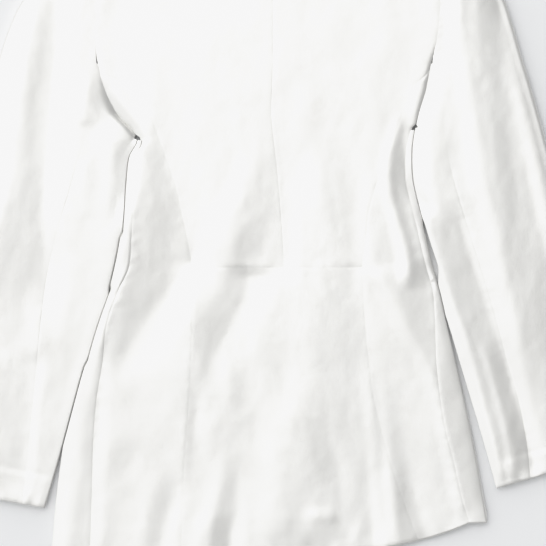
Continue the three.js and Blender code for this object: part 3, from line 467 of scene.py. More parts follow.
def princess(key, r):
    """x of the princess seam. Above the notch it is the armhole itself."""
    return lerp(body("e" + key, r), body("p" + key, r), smooth(NOTCH, NOTCH + 0.9, r))


def neck_share(r):
    return lerp(0.5, 0.635, np.clip(1 - r / 3, 0, 1))


def shoulder_y(x):
    a = np.abs(x)
    tip = np.where(x < 0, 200.4, 195.6)
    curve = lerp(BODY[0, 0], NECK_Y, (np.minimum(a, NECK_X) / NECK_X) ** 2.2)
    return np.where(a <= NECK_X, curve, lerp(NECK_Y, 319.2, (a - NECK_X) / (tip - NECK_X)))


def row_y(r, x):
    cb = body("cb", r)
    left = x < cb
    e = np.where(left, body("eL", r), body("eR", r))
    t = np.clip((x - cb) / (e - cb), 0, 1)
    p = lerp(1.5, 3.0, smooth(3, 4.2, r))
    return lerp(body("yC", r), np.where(left, body("yL", r), body("yR", r)), t**p)


def plan(r, at, y=row_y):
    """Plan points of a column on rows r. at(r) gives its x."""
    x, yy = at(r), y(r, at(r))
    first = r < 1
    if first.any():
        zero, one = np.zeros_like(r), np.ones_like(r)
        x0, x1 = at(zero), at(one)
        x = np.where(first, lerp(x0, x1, r), x)
        yy = np.where(first, lerp(shoulder_y(x0), y(one, x1), r), yy)
    return x, yy


def closing(r, x):
    q = np.sqrt(np.clip(1 - (1 - np.minimum(r / 0.26, 1)) ** 2, 0, 1))
    return np.where(r >= 0.26, 1.0, lerp(1.0, q, smooth(NECK_X - 8, NECK_X + 14, np.abs(x))))


def along(P):
    """Running length down each column of a grid, mm."""
    s = np.linalg.norm(np.diff(P[:, :, :2], axis=0), axis=2)
    return np.vstack([np.zeros((1, P.shape[1])), np.cumsum(s, axis=0)])


def wiggle(s, seed, pitch=11.0):
    """Uneven ripple along a seam, about -1 to 1."""
    g = np.random.RandomState(seed)
    out = np.zeros_like(s)
    for k in range(7):
        out += g.uniform(0.3, 1.0) * np.sin(2 * np.pi * s / (pitch * g.uniform(0.65, 1.9)) + g.uniform(0, 6.28))
    return out / 2.6


EDGE = np.array([0.0, 0.45, 1.0, 1.8, 2.9, 4.4, 6.4, 9.0])


def spread(width, mid):
    """Fractions across a panel on each row, close together at both seams, with the distances to them."""
    k = np.minimum(1.0, width / 22.0)[:, None]
    left = EDGE[None, :] * k / np.maximum(width, 1e-6)[:, None]
    a = left[:, -1:]
    inner = a + (1 - 2 * a) * np.linspace(0, 1, mid + 2)[None, 1:-1]
    f = np.hstack([left, inner, (1 - left)[:, ::-1]])
    return f, f * width[:, None], (1 - f) * width[:, None]


def seam_dip(d, depth, width):
    return -depth * np.exp(-((np.maximum(d, 0) / width) ** 1.3))


def pucker(d, s, seed, amp, reach=9.0, pitch=11.0):
    return amp * np.exp(-((d / reach) ** 2)) * wiggle(s, seed, pitch)


def turn_hem(P, up, radius=1.15, back=(3.0, 9.0, 18.0), first=False):
    """Carries the last rows of a grid round the hem and back inside. up is the outer side's sign of the grid's normal."""
    N = grid_normals(P, np.ones((P.shape[0] - 1, P.shape[1] - 1), bool))
    n = N[-1] * up
    e = P[-1] - P[-3]
    e /= np.linalg.norm(e, axis=1, keepdims=True)
    rows = [P[-1] + e * radius * math.sin(a) - n * radius * (1 - math.cos(a)) for a in np.radians([30, 60, 90, 120, 150, 180])]
    rows += [P[-1] - e * s - n * radius * 2.0 for s in back]
    return np.concatenate([P, np.array(rows)], axis=0)


def outer_sign(P, j):
    """+1 if the grid's own normal at column j points up."""
    N = grid_normals(P, np.ones((P.shape[0] - 1, P.shape[1] - 1), bool))
    return 1.0 if N[P.shape[0] // 2, j, 2] > 0 else -1.0


STEP = 3.6
total_len = 740.0


def fine_rows(lo, hi, spacing=STEP):
    """Row numbers from lo to hi, about spacing mm apart, with more at the shoulder."""
    out = [lo]
    r = lo
    yc = BODY[:, 0]
    while r < hi - 1e-6:
        k = int(min(math.floor(r + 1e-9), HEM - 1))
        gap = abs(yc[k + 1] - yc[k])
        step = spacing / gap
        if r < 0.3:
            step = 0.9 / gap
        r = min(r + step, hi)
        if hi - r < 0.3 * step:
            r = hi
        out.append(r)
    return np.array(out)


SEAM_GAP = 0.02
HEM_BAND = 30.0


def back_heights(X, Y, R, seed, seams, hem=True, waist=None):
    """Height of a back panel: the field and its seams."""
    Z = sample(TOP["B"], X, Y)
    mid = (LOW + Z) / 2 + 0.5
    Z = lerp(mid, Z, closing(R, X))
    for d, s, depth, width, pk, k in seams:
        Z = Z + seam_dip(d, depth, width) + pucker(d, s, seed + k, pk)
    return Z


def back_panel(name, lo, hi, at, width_of, mid, seams_at, hem, seed):
    r = fine_rows(lo, hi)
    width = width_of(r)
    F, dl, dr = spread(width, mid)
    X, Y = np.zeros_like(F), np.zeros_like(F)
    for j in range(F.shape[1]):
        fj = F[:, j]
        def column(q, fj=fj):
            ff = fj if q.shape == fj.shape else fj
            return at(q, ff)
        X[:, j], Y[:, j] = plan(r, column)
    P = np.stack([X, Y, np.zeros_like(X)], axis=2)
    S = along(P)
    R = np.repeat(r[:, None], F.shape[1], axis=1)
    seams = []
    for which, depth, w, pk in seams_at:
        d = {"a": dl, "b": dr, "first": S, "last": S[-1:, :] - S}[which]
        run = S if which in "ab" else X
        dep = depth(R) if callable(depth) else depth
        ww = w(R) if callable(w) else w
        seams.append((d, run, dep, ww, pk, len(seams)))
    P[:, :, 2] = back_heights(X, Y, R, seed, seams)
    if hem:
        toh = S[-1:, :] - S
        P[:, :, 2] += 0.06 * (1 - smooth(HEM_BAND - 3, HEM_BAND + 3, toh)) - 0.04 * np.exp(-(((toh - HEM_BAND) / 2.5) ** 2))
        P[:, :, 2] += 0.16 * np.exp(-((toh / 9) ** 2)) * wiggle(X, seed + 77, 23)
        P = turn_hem(P, outer_sign(P, P.shape[1] // 2))
    return P


def arm_depth(key):
    table = {
        "L": ([0, 3.4, 4.0, 4.6, 5.3, 6.0, 6.6, 7.0, 7.4], [0.03, 0.04, 0.2, 0.8, 2.6, 5.0, 5.4, 2.8, 0.2]),
        "R": ([0, 3.2, 3.7, 4.2, 5.2, 6.0, 6.6, 7.2, 8.0], [0.05, 0.08, 0.6, 1.5, 1.6, 1.3, 0.8, 0.3, 0.05]),
    }[key]
    return lambda R: np.interp(R, *table)


def arm_width(key):
    table = {
        "L": ([0, 3, 4.4, 5.2, 6.2, 7.2], [1.2, 1.6, 4.0, 7.0, 9.0, 4.0]),
        "R": ([0, 3, 4.4, 5.2, 6.2, 7.2], [1.4, 1.6, 2.6, 2.8, 2.6, 2.0]),
    }[key]
    return lambda R: np.interp(R, *table)


def side_depth(key):
    """Depth of the outer seam of a side panel: the armhole above the underarm, the side seam below."""
    arm = arm_depth(key)
    return lambda R: np.where(R < 7.1, arm(R), np.interp(R, [7.1, 7.8], [arm(np.array(7.1)) * 1.0, 0.10]))


def side_width(key):
    arm = arm_width(key)
    return lambda R: np.where(R < 7.1, arm(R), np.interp(R, [7.1, 7.8], [arm(np.array(7.1)) * 1.0, 1.6]))


def princess_depth(key):
    arm = arm_depth(key)
    return lambda R: np.where(R < 4.1, arm(R), np.interp(R, [4.1, 4.6, 5, 7, 12, 14, 20], [arm(np.array(4.1)) * 1.0, 0.04, 0.03, 0.06, 0.09, 0.07, 0.05]))


def princess_width(key):
    arm = arm_width(key)
    return lambda R: np.where(R < 4.1, arm(R), np.interp(R, [4.1, 4.6, 5], [arm(np.array(4.1)) * 1.0, 2.0, 1.6]))


for key, side, p, s, e in (("L", -1, "pL", "sL", "eL"), ("R", 1, "pR", "sR", "eR")):
    def centre(q, f, side=side, p=p):
        a = princess(p[1], q) - side * SEAM_GAP / 2
        c = body("cb", q) + side * SEAM_GAP / 2
        m = lerp(a, c, neck_share(q))
        return np.where(f < 0.5, lerp(a, m, f * 2), lerp(m, c, f * 2 - 1))
    width = lambda r, p=p: np.abs(body("cb", r) - princess(p[1], r))
    P = back_panel("back_center_" + key, 0, WAIST, centre, width, 30,
                   [("a", princess_depth(key), princess_width(key), 0.05), ("b", 0.10, 1.3, 0.05), ("last", 0.12, 1.3, 0.04)], False, 100 + side)
    shell("back_center_" + key, P)

    def flank(q, f, side=side, p=p, s=s):
        return lerp(princess(p[1], q) + side * SEAM_GAP / 2, side_seam(p[1], q) - side * SEAM_GAP / 2, f)
    width = lambda r, p=p: np.maximum(np.abs(side_seam(p[1], r) - princess(p[1], r)), 0.05)
    P = back_panel("back_side_" + key, NOTCH, HEM, flank, width, 14,
                   [("a", princess_depth(key), princess_width(key), 0.05), ("b", side_depth(key), side_width(key), 0.12)], True, 200 + side)
    shell("back_side_" + key, P)


def middle(q, f):
    return lerp(body("pL", q) + SEAM_GAP / 2, body("pR", q) - SEAM_GAP / 2, f)


P = back_panel("peplum_center", WAIST, HEM, middle, lambda r: body("pR", r) - body("pL", r), 62,
               [("a", princess_depth("L"), 1.6, 0.05), ("b", princess_depth("R"), 1.6, 0.05), ("first", 0.12, 1.3, 0.04)], True, 300)
shell("peplum_center", P)


# ---- folded edges --------------------------------------------------------------------------------
def gap_at(key, y):
    """Distance between the body's edge and the sleeve's inner edge at a height y of the plan."""
    table = SLEEVE_L if key == "L" else SLEEVE_R
    r, q = np.linspace(0, HEM, 200), np.linspace(0, len(table) - 1, 200)
    edge = np.interp(-y, -rows_of(BODY, BODY_COLS, "y" + key, r), rows_of(BODY, BODY_COLS, "e" + key, r))
    inner = np.interp(-y, -rows_of(table, SLEEVE_COLS, "yi", q), rows_of(table, SLEEVE_COLS, "xi", q))
    return np.abs(inner - edge)


def closed_at(key, y):
    """1 where sleeve and body lie against each other, 0 where a gap shows."""
    if key == "L":
        return np.maximum(smooth(-6, 8, y), smooth(62, 74, -y) * (1 - smooth(146, 160, -y)))
    return smooth(6, 20, y)


def crisp(k, p):
    """Reach and share of height on a folded edge, k from 0 at the foot to 1 at the top: square for a small p."""
    a = (k - 0.5) * math.pi
    c, n = max(math.cos(a), 0.0), math.sin(a)
    return c**p, (1 + math.copysign(1, n) * abs(n) ** p) / 2


# a side that bulges towards the light: reach of the roll, reach of the bulge, share of height above its belly
SLANT = np.array([(0.0, 0, -1.0), (0.9, 0, -1.0), (1.0, 0.7, -0.6), (1.0, 1.0, 0.0), (1.0, 0.93, 0.14), (1.0, 0.72, 0.38), (1.0, 0.45, 0.62),
                  (0.95, 0.18, 0.84), (0.65, 0.02, 0.97), (0.0, 0, 1.0)])


def side_of(key, k, w, y, lit):
    """Reach outwards in mm and share of height at share k of a folded edge."""
    shut, gap = closed_at(key, y), gap_at(key, y)
    out, t = crisp(k, lerp(0.22, 0.1, shut))
    out = (w + shut * (gap / 2 - 0.06)) * out
    if lit:
        n = np.linspace(0, 1, len(SLANT))
        reach = np.clip(gap - 0.2, 0, 14.5 if key == "L" else 11.0) * (1 if key == "L" else smooth(34, 62, -y))
        wide = w * np.interp(k, n, SLANT[:, 0]) + reach * np.interp(k, n, SLANT[:, 1])
        belly, h = np.interp(gap, [9, 18], [0.96, 0.82]), np.interp(k, n, SLANT[:, 2])
        out, t = lerp(wide, out, shut), lerp(belly + h * np.where(h > 0, 1 - belly, belly), t, shut)
    return out, t


# ---- fronts --------------------------------------------------------------------------------------
def front(key, side, s, e, low):
    r = fine_rows(0, HEM, 4.2)
    def inner(q):
        y = np.where(q < 1e-9, NECK_Y, body("yC", q))
        x = np.where(y > BREAK_Y, np.minimum(roll_x(y), NECK_X), -OVERLAP)
        return side * np.where(q < 1e-9, NECK_X, x)
    def y_of(q, x):
        k = np.clip(q - (HEM - 3), 0, 3)
        lift = np.interp(k, [0, 1, 2, 3], [0, 0.2, 0.55, 1.0])
        near = 1 - smooth(-OVERLAP, 75, side * x)
        return row_y(q, x) + lift * (6 + 52 * near * near)
    roll = lambda q: np.maximum(body("roll", q), 0.5)
    edge = lambda q: body(e, q) - side * WALL / 2
    def end(q):
        soft = smooth(UNDERARM - 0.12, UNDERARM, q)
        return np.where(q < UNDERARM, body(e, q) - side * lerp(0.1, WALL / 2 + 2.4, soft), edge(q) - side * roll(q))
    n_under, n_roll = 44, 14
    F = np.linspace(0, 1, n_under)
    cols = []
    for f in F:
        x, y = plan(r, lambda q, f=f: lerp(inner(q), end(q), f), y_of)
        z = sample(low, x, y)
        top = sample(TOP["B"], x, y)
        z = lerp((LOW + top) / 2 - 0.5, z, closing(r, x))
        cols.append(np.stack([x, y, z], axis=1))
    base = cols[-1]
    xt, yt = plan(r, lambda q: side_seam(key, q) + side * SEAM_GAP / 2, row_y)
    w = roll(np.maximum(r, UNDERARM))
    for k in np.linspace(0, 1, n_roll + 1)[1:]:
        out, t = side_of(key, k, w, yt, key == "L")
        x = base[:, 0] + side * out
        cols.append(np.stack([x, lerp(base[:, 1], yt, t), lerp(base[:, 2], sample(TOP["B"], x, yt), t)], axis=1))
    strip = np.abs(xt - base[:, 0])
    offs = np.array([0.22, 0.42, 0.6, 0.76, 0.88, 0.95, 1.0])
    for f in offs:
        x = lerp(base[:, 0], xt, f)
        z = sample(TOP["B"], x, yt)
        d = strip * (1 - f)
        S = np.concatenate([[0], np.cumsum(np.hypot(np.diff(xt), np.diff(yt)))])
        low = 0.3 + 0.7 * smooth(-20, 60, -yt)
        z = z + low * (seam_dip(d, 0.22, 1.4) + pucker(d, S, 500 + side, 0.15, 5.0, 8.0))
        cols.append(np.stack([x, yt, z], axis=1))
    P = np.stack(cols, axis=1)
    sign = -outer_sign(P, 10)  # the underside's outer side faces down
    P2 = turn_hem(P, sign)
    has = np.ones((P2.shape[0] - 1, P2.shape[1] - 1), bool)
    above = np.concatenate([r, np.full(P2.shape[0] - len(r), HEM)])[:-1] < UNDERARM
    has[np.ix_(above, np.arange(P2.shape[1] - 1) >= n_under - 1)] = False
    shell("front_" + key, P2, has)


front("L", -1, "sL", "eL", FRONT_L)
front("R", 1, "sR", "eR", FRONT_R)


# ---- sleeves -------------------------------------------------------------------------------------
def sleeve(key, side, table):
    last = len(table) - 1
    col = lambda n, q: rows_of(table, SLEEVE_COLS, n, q)
    def fine(lo):
        out, r = [lo], lo
        while r < last - 1e-6:
            k = int(min(math.floor(r + 1e-9), last - 1))
            gap = max(math.hypot(*(table[k + 1, 2:4] - table[k, 2:4])), math.hypot(*(table[k + 1, 0:2] - table[k, 0:2])))
            step = (1.2 if r < 0.35 else STEP) / gap
            r = min(r + step, last)
            if last - r < 0.3 * step:
                r = last
            out.append(r)
        return np.array(out)

    def point(q, f):
        return lerp(col("xi", q), col("xo", q), f), lerp(col("yi", q), col("yo", q), f)

    def length(q):
        return np.hypot(col("xo", q) - col("xi", q), col("yo", q) - col("yi", q))

    field = TOP[key]
    depth, wide = arm_depth(key), arm_width(key)

    def top_z(q, f, x, y):
        z = sample(field, x, y)
        c = smooth(-0.12, 0.5, q)
        z = lerp((LOW + z) / 2 + 0.8, z, c)
        d = f * length(q)
        z = z + np.where(q < 8.0, seam_dip(d, depth(q), wide(q)), 0)
        dh = np.abs(f - col("hind", q)) * length(q)
        z = z + seam_dip(dh, 0.14, 1.3) * smooth(8, 10, q)
        S = q * 34.0
        z = z + pucker(dh, S, 700 + side, 0.08) * smooth(8, 10, q)
        # the head of the sleeve is eased in: short ripples at the armhole
        z = z + 0.12 * np.exp(-((d / 10) ** 2)) * wiggle(S, 720 + side, 13) * (q < UNDERARM)
        # cuff band
        toh = (last - q) * 39.0
        z = z + 0.35 * (1 - smooth(25, 31, toh)) - 0.3 * np.exp(-(((toh - 28) / 2.5) ** 2))
        z = z + 0.25 * np.exp(-((toh / 8) ** 2)) * wiggle(d, 740 + side, 21)
        return z

    def low_z(q, x, y):
        z = sample(field, x, y)
        return lerp((LOW + z) / 2 - 0.8, LOW, smooth(-0.12, 0.5, q))

    def direction(q):
        L = length(q)
        return np.stack([(col("xo", q) - col("xi", q)) / L, (col("yo", q) - col("yi", q)) / L, 0 * L], axis=1)

    def roll(frm, to, outward, w, n, inner=False):
        """The folded edge from the top's last column down to the underside's first."""
        rows = []
        for k in np.linspace(0, 1, n + 1)[1:-1]:
            if inner:
                out, t = side_of(key, 1 - k, w, frm[:, 1], key == "R")
            else:
                out, t = crisp(1 - k, 0.55)
                out = w * out
            c = lerp(frm, to, (1 - t) if np.isscalar(t) else (1 - t)[:, None]) + outward * np.reshape(out, (-1, 1))
            c[:, 2] = lerp(sample(field, c[:, 0], c[:, 1]) if inner else frm[:, 2], to[:, 2], 1 - t)
            rows.append(c)
        return rows

    def column(q, f, top):
        x, y = point(q, f)
        z = top_z(q, f, x, y) if top else low_z(q, x, y)
        return np.stack([x, y, z], axis=1)

    g = SEAM_GAP / 2
    # top sleeve
    q = fine(0.0)
    L = length(q)
    w = np.minimum(SLEEVE_ROLL, L * 0.5)
    o = 1 - (w + WALL / 2) / L
    h, fo = col("hind", q) + g / L, col("fore", q) + g / L
    offs = np.concatenate([EDGE / 60.0, np.linspace(0.19, 1, 30)])
    cols = [column(q, lerp(h, o, t), True) for t in offs]
    lower = [column(q, lerp(o, fo, t), False) for t in np.linspace(0, 1, 22)]
    P = np.stack(cols + roll(cols[-1], lower[0], direction(q), w, 16) + lower, axis=1)
    P = turn_hem(P, outer_sign(P, 10))
    shell("sleeve_top_" + key, P)
    # under sleeve
    q = fine(float(NOTCH))
    L = length(q)
    h, fo = col("hind", q) - g / L, col("fore", q) - g / L
    w = np.maximum(col("roll", q), 0.5)
    i = np.where(q < UNDERARM, (0.1 + 2.6 * smooth(UNDERARM - 0.12, UNDERARM, q)) / L, (w + WALL / 2) / L)
    offs = np.concatenate([EDGE / 40.0, np.linspace(0.27, 1, 12)])
    cols = [column(q, lerp(h, i, t), True) for t in offs]
    lower = [column(q, lerp(i, fo, t), False) for t in np.linspace(0, 1, 18)]
    n_roll = 14
    P = np.stack(cols + roll(cols[-1], lower[0], -direction(q), w, n_roll, True) + lower, axis=1)
    sign = outer_sign(P, 4)
    P2 = turn_hem(P, sign)
    has = np.ones((P2.shape[0] - 1, P2.shape[1] - 1), bool)
    above = np.concatenate([q, np.full(P2.shape[0] - len(q), last)])[:-1] < UNDERARM
    j = np.arange(P2.shape[1] - 1)
    gap = (j >= len(cols) - 1) & (j < len(cols) - 1 + n_roll)
    has[np.ix_(above, gap)] = False
    shell("sleeve_under_" + key, P2, has)


sleeve("L", -1, SLEEVE_L)
sleeve("R", 1, SLEEVE_R)


# ---- lapels --------------------------------------------------------------------------------------
def lapel(key, side, field):
    t = np.array([(y, e) for y, e in LAPEL], float)
    k = np.linspace(0, len(t) - 1, 80)
    ys = np.interp(k, np.arange(len(t)), t[:, 0])
    es = np.interp(k, np.arange(len(t)), t[:, 1])
    rows = []
    for f in np.linspace(0, 1, 26):
        x = side * (roll_x(ys) + 0.6 + (es - 0.6) * f)
        z = sample(field, x, ys) if field is not None else np.full_like(x, LOW)
        rows.append(np.stack([x, ys, z], axis=1))
    shell("lapel_" + key, np.stack(rows, axis=1))


lapel("R", 1, None)
lapel("L", -1, LAPEL_L)

# ---- collar --------------------------------------------------------------------------------------
COLLAR_COLS = "sx sy fx fy ox oy turn".split()
COLLAR = np.array([
    [0, 358.2, 0, 383, 0, 338, 0],
    [26, 360.6, 27, 384.5, 36, 339.5, 0],
    [47, 366.4, 50, 387, 70, 345, 0],
    [60, 374, 66, 390, 95, 356, 0.06],
    [71, 383, 75, 392, 108, 364.5, 0.25],
    [74, 385, 77, 393, 112, 367.5, 0.5],
    [72, 380.5, 76, 391, 110, 363, 0.75],
    [68, 369, 71, 378, 103, 352, 0.95],
    [66, 352, 69, 354, 107, 340, 1],
    [61, 330, 64, 331, 111, 318, 1],
    [54, 300, 57, 300, 99, 298, 1],
])


def collar():
    flip = COLLAR[1:][::-1] * np.array([-1, 1, -1, 1, -1, 1, 1])
    table = np.vstack([flip, COLLAR])
    n = len(COLLAR) - 1
    k = np.linspace(0, 2 * n, 200)
    def get(name):
        c = table[:, COLLAR_COLS.index(name)]
        i = np.clip(np.floor(k).astype(int), 0, len(c) - 2)
        t = k - i
        p0, p1, p2, p3 = c[np.maximum(i - 1, 0)], c[i], c[i + 1], c[np.minimum(i + 2, len(c) - 1)]
        return 0.5 * (2 * p1 + (p2 - p0) * t + (2 * p0 - 5 * p1 + 4 * p2 - p3) * t**2 + (3 * p1 - p0 - 3 * p2 + p3) * t**3)
    v = {c: get(c) for c in COLLAR_COLS}
    turn = np.clip(v["turn"], 0, 1)
    fold = 1 - smooth(0, 0.25, turn)

    def put(ax, ay, bx, by, f, lift):
        x, y = lerp(v[ax], v[bx], f), lerp(v[ay], v[by], f)
        top = sample(TOP["B"], x, y) + PLY
        low = np.where(k > n, LOW, sample(LAPEL_L, x, y))
        z = lerp(top, low, (1 - np.cos(np.pi * turn)) / 2)
        return np.stack([x, y, z - lift], axis=1)
    cols = [put("fx", "fy", "ox", "oy", f, 0.35 * (f > 0.985)) for f in (1.0, 0.98, 0.95, 0.9, 0.8, 0.7, 0.6, 0.5, 0.4, 0.3, 0.2, 0.12, 0.06)]
    cols += [put("fx", "fy", "ox", "oy", 0.02, 0.25 * fold), put("fx", "fy", "ox", "oy", -0.01, 0.8 * fold)]
    n_fall = len(cols)
    cols += [put("fx", "fy", "sx", "sy", f, PLY) for f in (0.06, 0.2, 0.4, 0.6, 0.8, 1.0)]
    P = np.stack(cols, axis=1)
    has = np.ones((P.shape[0] - 1, P.shape[1] - 1), bool)
    far = np.abs((k[:-1] + k[1:]) / 2 - n) > 4
    has[np.ix_(far, np.arange(P.shape[1] - 1) >= n_fall - 1)] = False
    shell("collar", P, has)


collar()


# ---- button --------------------------------------------------------------------------------------
def button():
    R, T = BUTTON["radius"], BUTTON["thick"]
    profile = [(0, 0.75), (R - 3.6, 0.75), (R - 2.9, 0.35), (R - 1.2, 0.0), (R - 0.35, 0.3), (R, 1.0), (R - 0.2, T - 0.5), (R - 1.0, T), (0, T)]
    me = bpy.data.meshes.new("button")
    verts, faces, n = [], [], 48
    for r, z in profile:
        for i in range(n):
            a = 2 * math.pi * i / n
            verts.append((r * math.cos(a), r * math.sin(a), z))
    for k in range(len(profile) - 1):
        for i in range(n):
            j = (i + 1) % n
            faces.append((k * n + i, k * n + j, (k + 1) * n + j, (k + 1) * n + i))
    me.from_pydata([(0.001 * (x + BUTTON["x"] - CX), 0.001 * (y + BUTTON["y"] - CY), 0.001 * z) for x, y, z in verts], [], faces)
    ob = bpy.data.objects.new("button_visual", me)
    bpy.context.scene.collection.objects.link(ob)
    bpy.context.view_layer.objects.active = ob
    import bmesh
    bm = bmesh.new()
    bm.from_mesh(me)
    bmesh.ops.remove_doubles(bm, verts=bm.verts, dist=1e-6)
    bmesh.ops.recalc_face_normals(bm, faces=bm.faces)
    bm.to_mesh(me)
    bm.free()
    # four sewing holes
    cut = bpy.data.meshes.new("holes")
    bm = bmesh.new()
    for sx in (-1, 1):
        for sy in (-1, 1):
            m = bmesh.ops.create_cone(bm, cap_ends=True, segments=16, radius1=0.0009, radius2=0.0009, depth=0.01)
            bmesh.ops.translate(bm, verts=m["verts"], vec=(0.001 * (BUTTON["x"] - CX + 2.0 * sx), 0.001 * (BUTTON["y"] - CY + 2.0 * sy), 0.0))
    bm.to_mesh(cut)
    bm.free()
    holes = bpy.data.objects.new("holes", cut)
    bpy.context.scene.collection.objects.link(holes)
    mod = ob.modifiers.new("cut", "BOOLEAN")
    mod.operation, mod.object, mod.solver = "DIFFERENCE", holes, "EXACT"
    dep = bpy.context.evaluated_depsgraph_get()
    done = bpy.data.meshes.new_from_object(ob.evaluated_get(dep))
    ob.modifiers.clear()
    ob.data = done
    bpy.data.objects.remove(holes)
    done.polygons.foreach_set("use_smooth", np.ones(len(done.polygons), bool))
    done.set_sharp_from_angle(angle=math.radians(35))
    return ob


button_ob = button()


# ---- materials -----------------------------------------------------------------------------------
def satin(name, tone, seed):
    m = bpy.data.materials.new(name)
    m.use_nodes = True
    nt = m.node_tree
    bsdf = nt.nodes["Principled BSDF"]
    co = nt.nodes.new("ShaderNodeTexCoord")
    shift = nt.nodes.new("ShaderNodeMapping")
    shift.inputs["Location"].default_value = (seed * 0.37, seed * 0.21, 0)
    nt.links.new(co.outputs["Object"], shift.inputs["Vector"])

    def noise(scale, detail, rough=0.5):
        n = nt.nodes.new("ShaderNodeTexNoise")
        n.inputs["Scale"].default_value = scale
        n.inputs["Detail"].default_value = detail
        n.inputs["Roughness"].default_value = rough
        nt.links.new(shift.outputs["Vector"], n.inputs["Vector"])
        return n
    # tone: broad, faint clouds
    cloud = noise(9.0, 3.0)
    ramp_ = nt.nodes.new("ShaderNodeValToRGB")
    ramp_.color_ramp.elements[0].position = 0.30
    ramp_.color_ramp.elements[1].position = 0.72
    a, b = tone
    ramp_.color_ramp.elements[0].color = (*a, 1)
    ramp_.color_ramp.elements[1].color = (*b, 1)
    nt.links.new(cloud.outputs["Fac"], ramp_.inputs["Fac"])
    nt.links.new(ramp_.outputs["Color"], bsdf.inputs["Base Color"])
    # roughness: floats of the satin weave lie a little unevenly
    rn = noise(60.0, 4.0)
    mr = nt.nodes.new("ShaderNodeMapRange")
    mr.inputs["To Min"].default_value = 0.29
    mr.inputs["To Max"].default_value = 0.37
    nt.links.new(rn.outputs["Fac"], mr.inputs["Value"])
    nt.links.new(mr.outputs["Result"], bsdf.inputs["Roughness"])
    # weave: fine diagonal floats, crossed by the finer weft
    def wave(angle, scale):
        mp = nt.nodes.new("ShaderNodeMapping")
        mp.inputs["Rotation"].default_value = (0, 0, angle)
        nt.links.new(shift.outputs["Vector"], mp.inputs["Vector"])
        wv = nt.nodes.new("ShaderNodeTexWave")
        wv.wave_type = "BANDS"
        wv.inputs["Scale"].default_value = scale
        wv.inputs["Distortion"].default_value = 0.6
        wv.inputs["Detail"].default_value = 1.0
        nt.links.new(mp.outputs["Vector"], wv.inputs["Vector"])
        return wv
    w1, w2 = wave(0.35, 620.0), wave(1.92, 900.0)
    mul = nt.nodes.new("ShaderNodeMath")
    mul.operation = "MULTIPLY"
    nt.links.new(w1.outputs["Fac"], mul.inputs[0])
    nt.links.new(w2.outputs["Fac"], mul.inputs[1])
    bump1 = nt.nodes.new("ShaderNodeBump")
    bump1.inputs["Strength"].default_value = 0.25
    bump1.inputs["Distance"].default_value = 0.00005
    nt.links.new(mul.outputs["Value"], bump1.inputs["Height"])
    # faint handling creases
    crease = noise(95.0, 5.0, 0.55)
    bump2 = nt.nodes.new("ShaderNodeBump")
    bump2.inputs["Strength"].default_value = 0.35
    bump2.inputs["Distance"].default_value = 0.00035
    nt.links.new(crease.outputs["Fac"], bump2.inputs["Height"])
    nt.links.new(bump1.outputs["Normal"], bump2.inputs["Normal"])
    nt.links.new(bump2.outputs["Normal"], bsdf.inputs["Normal"])
    bsdf.inputs["Metallic"].default_value = 0.55
    bsdf.inputs["Specular IOR Level"].default_value = 0.45
    bsdf.inputs["Sheen Weight"].default_value = 0.18
    bsdf.inputs["Sheen Roughness"].default_value = 0.4
    return m


WHITE = ((0.806, 0.800, 0.776), (0.826, 0.821, 0.799))
REST = ["front_R"]

# ---- floor ---------------------------------------------------------------------------------------
fm = bpy.data.meshes.new("floor")
fm.from_pydata([(-4, -4, -0.0004), (4, -4, -0.0004), (4, 4, -0.0004), (-4, 4, -0.0004)], [], [(0, 1, 2, 3)])
floor = bpy.data.objects.new("floor", fm)
bpy.context.scene.collection.objects.link(floor)
mat = bpy.data.materials.new("floor_pale")
mat.use_nodes = True
nt = mat.node_tree
b = nt.nodes["Principled BSDF"]
tc = nt.nodes.new("ShaderNodeTexCoord")
nz = nt.nodes.new("ShaderNodeTexNoise")
nz.inputs["Scale"].default_value = 1.2
rp = nt.nodes.new("ShaderNodeValToRGB")
rp.color_ramp.elements[0].color = (0.872, 0.878, 0.886, 1)
rp.color_ramp.elements[1].color = (0.888, 0.894, 0.902, 1)
nt.links.new(tc.outputs["Object"], nz.inputs["Vector"])
nt.links.new(nz.outputs["Fac"], rp.inputs["Fac"])
nt.links.new(rp.outputs["Color"], b.inputs["Base Color"])
b.inputs["Roughness"].default_value = 0.8
b.inputs["Specular IOR Level"].default_value = 0.2
fm.materials.append(mat)

for k, (name, info) in enumerate(made.items()):
    ob = info["ob"]
    ob.name = name + "_cloth"
    ob.data.materials.append(satin("satin_" + name, WHITE, k + 1))
    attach(ob, "root")
    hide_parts(name)
for name, info in made.items():
    ob = info["ob"]

bm_ = bpy.data.materials.new("button_gloss")
bm_.use_nodes = True
nt = bm_.node_tree
b = nt.nodes["Principled BSDF"]
tc = nt.nodes.new("ShaderNodeTexCoord")
nz = nt.nodes.new("ShaderNodeTexNoise")
nz.inputs["Scale"].default_value = 260.0
nz.inputs["Detail"].default_value = 4.0
rp = nt.nodes.new("ShaderNodeValToRGB")
rp.color_ramp.elements[0].color = (0.80, 0.78, 0.73, 1)
rp.color_ramp.elements[1].color = (0.90, 0.89, 0.86, 1)
nt.links.new(tc.outputs["Object"], nz.inputs["Vector"])
nt.links.new(nz.outputs["Fac"], rp.inputs["Fac"])
nt.links.new(rp.outputs["Color"], b.inputs["Base Color"])
b.inputs["Roughness"].default_value = 0.22
button_ob.data.materials.clear()
button_ob.data.materials.append(bm_)
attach(button_ob, "root")
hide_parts("button")

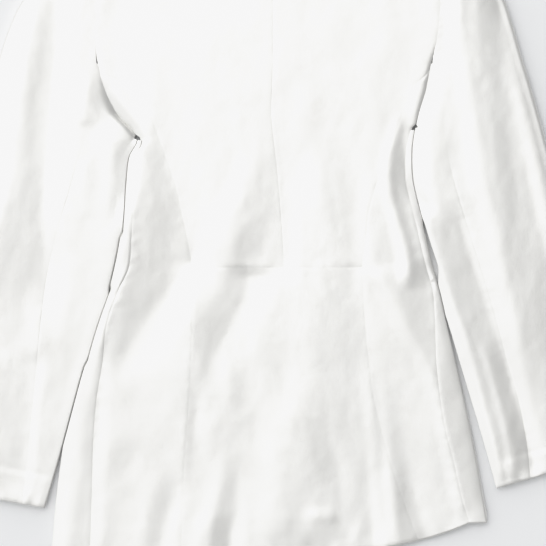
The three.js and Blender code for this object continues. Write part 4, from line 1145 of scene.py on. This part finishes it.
# ---- camera and light ----------------------------------------------------------------------------
cam_data = bpy.data.cameras.new("camera")
cam_data.lens = 300
cam_data.sensor_width = 36
cam = bpy.data.objects.new("camera", cam_data)
cam.location = ((273 - 274) * UNIT * 0.001 - CX * 0.001, (233 - 273) * UNIT * 0.001 - CY * 0.001, 5.470)
cam.rotation_euler = (0, 0, 0)
bpy.context.scene.collection.objects.link(cam)
bpy.context.scene.camera = cam


def area_light(name, where, at, size, power, color=(1, 1, 1)):
    d = bpy.data.lights.new(name, "AREA")
    d.shape = "RECTANGLE"
    d.size, d.size_y = size
    d.energy = power
    d.color = color
    o = bpy.data.objects.new(name, d)
    o.location = where
    aim = Vector(at) - Vector(where)
    o.rotation_euler = aim.to_track_quat("-Z", "Y").to_euler()
    bpy.context.scene.collection.objects.link(o)


area_light("side", (-1.2, 1.4, 3.4), (0, 0, 0), (1.8, 1.8), 17.0, (1.0, 0.998, 0.993))
area_light("top", (-0.1, 0.5, 6.6), (0, 0, 0), (4.2, 4.2), 33.0, (1.0, 0.998, 0.993))

# The studio is a large soft light that fills the upper left of the sky and ends just right of overhead. Satin
# that tips to the right or downwards stops mirroring it and goes grey.
world = bpy.data.worlds.new("studio")
world.use_nodes = True
nt = world.node_tree
bg = nt.nodes["Background"]
sky = nt.nodes.new("ShaderNodeTexCoord")
toward = nt.nodes.new("ShaderNodeVectorMath")
toward.operation = "DOT_PRODUCT"
toward.inputs[1].default_value = (-0.85, 0.53, 0.0)
nt.links.new(sky.outputs["Generated"], toward.inputs[0])
border = nt.nodes.new("ShaderNodeMapRange")
border.interpolation_type = "SMOOTHSTEP"
border.inputs["From Min"].default_value = -0.19
border.inputs["From Max"].default_value = 0.10
border.inputs["To Min"].default_value = 0.30
border.inputs["To Max"].default_value = 1.21
nt.links.new(toward.outputs["Value"], border.inputs["Value"])
nt.links.new(border.outputs["Result"], bg.inputs["Strength"])
bg.inputs["Color"].default_value = (0.99, 0.995, 1.0, 1)
bpy.context.scene.world = world

vs = bpy.context.scene.view_settings
vs.view_transform = "Standard"
vs.look = "None"
vs.exposure = 0.0
vs.gamma = 1.0
vs.use_curve_mapping = True
curve = vs.curve_mapping.curves[3]
vs.curve_mapping.extend = "HORIZONTAL"
curve.points[0].location = (0, 0)
curve.points[1].location = (1.0, 0.925)
curve.points.new(0.5, 0.5)
curve.points.new(0.84, 0.835)
curve.points.new(0.93, 0.900)
vs.curve_mapping.update()
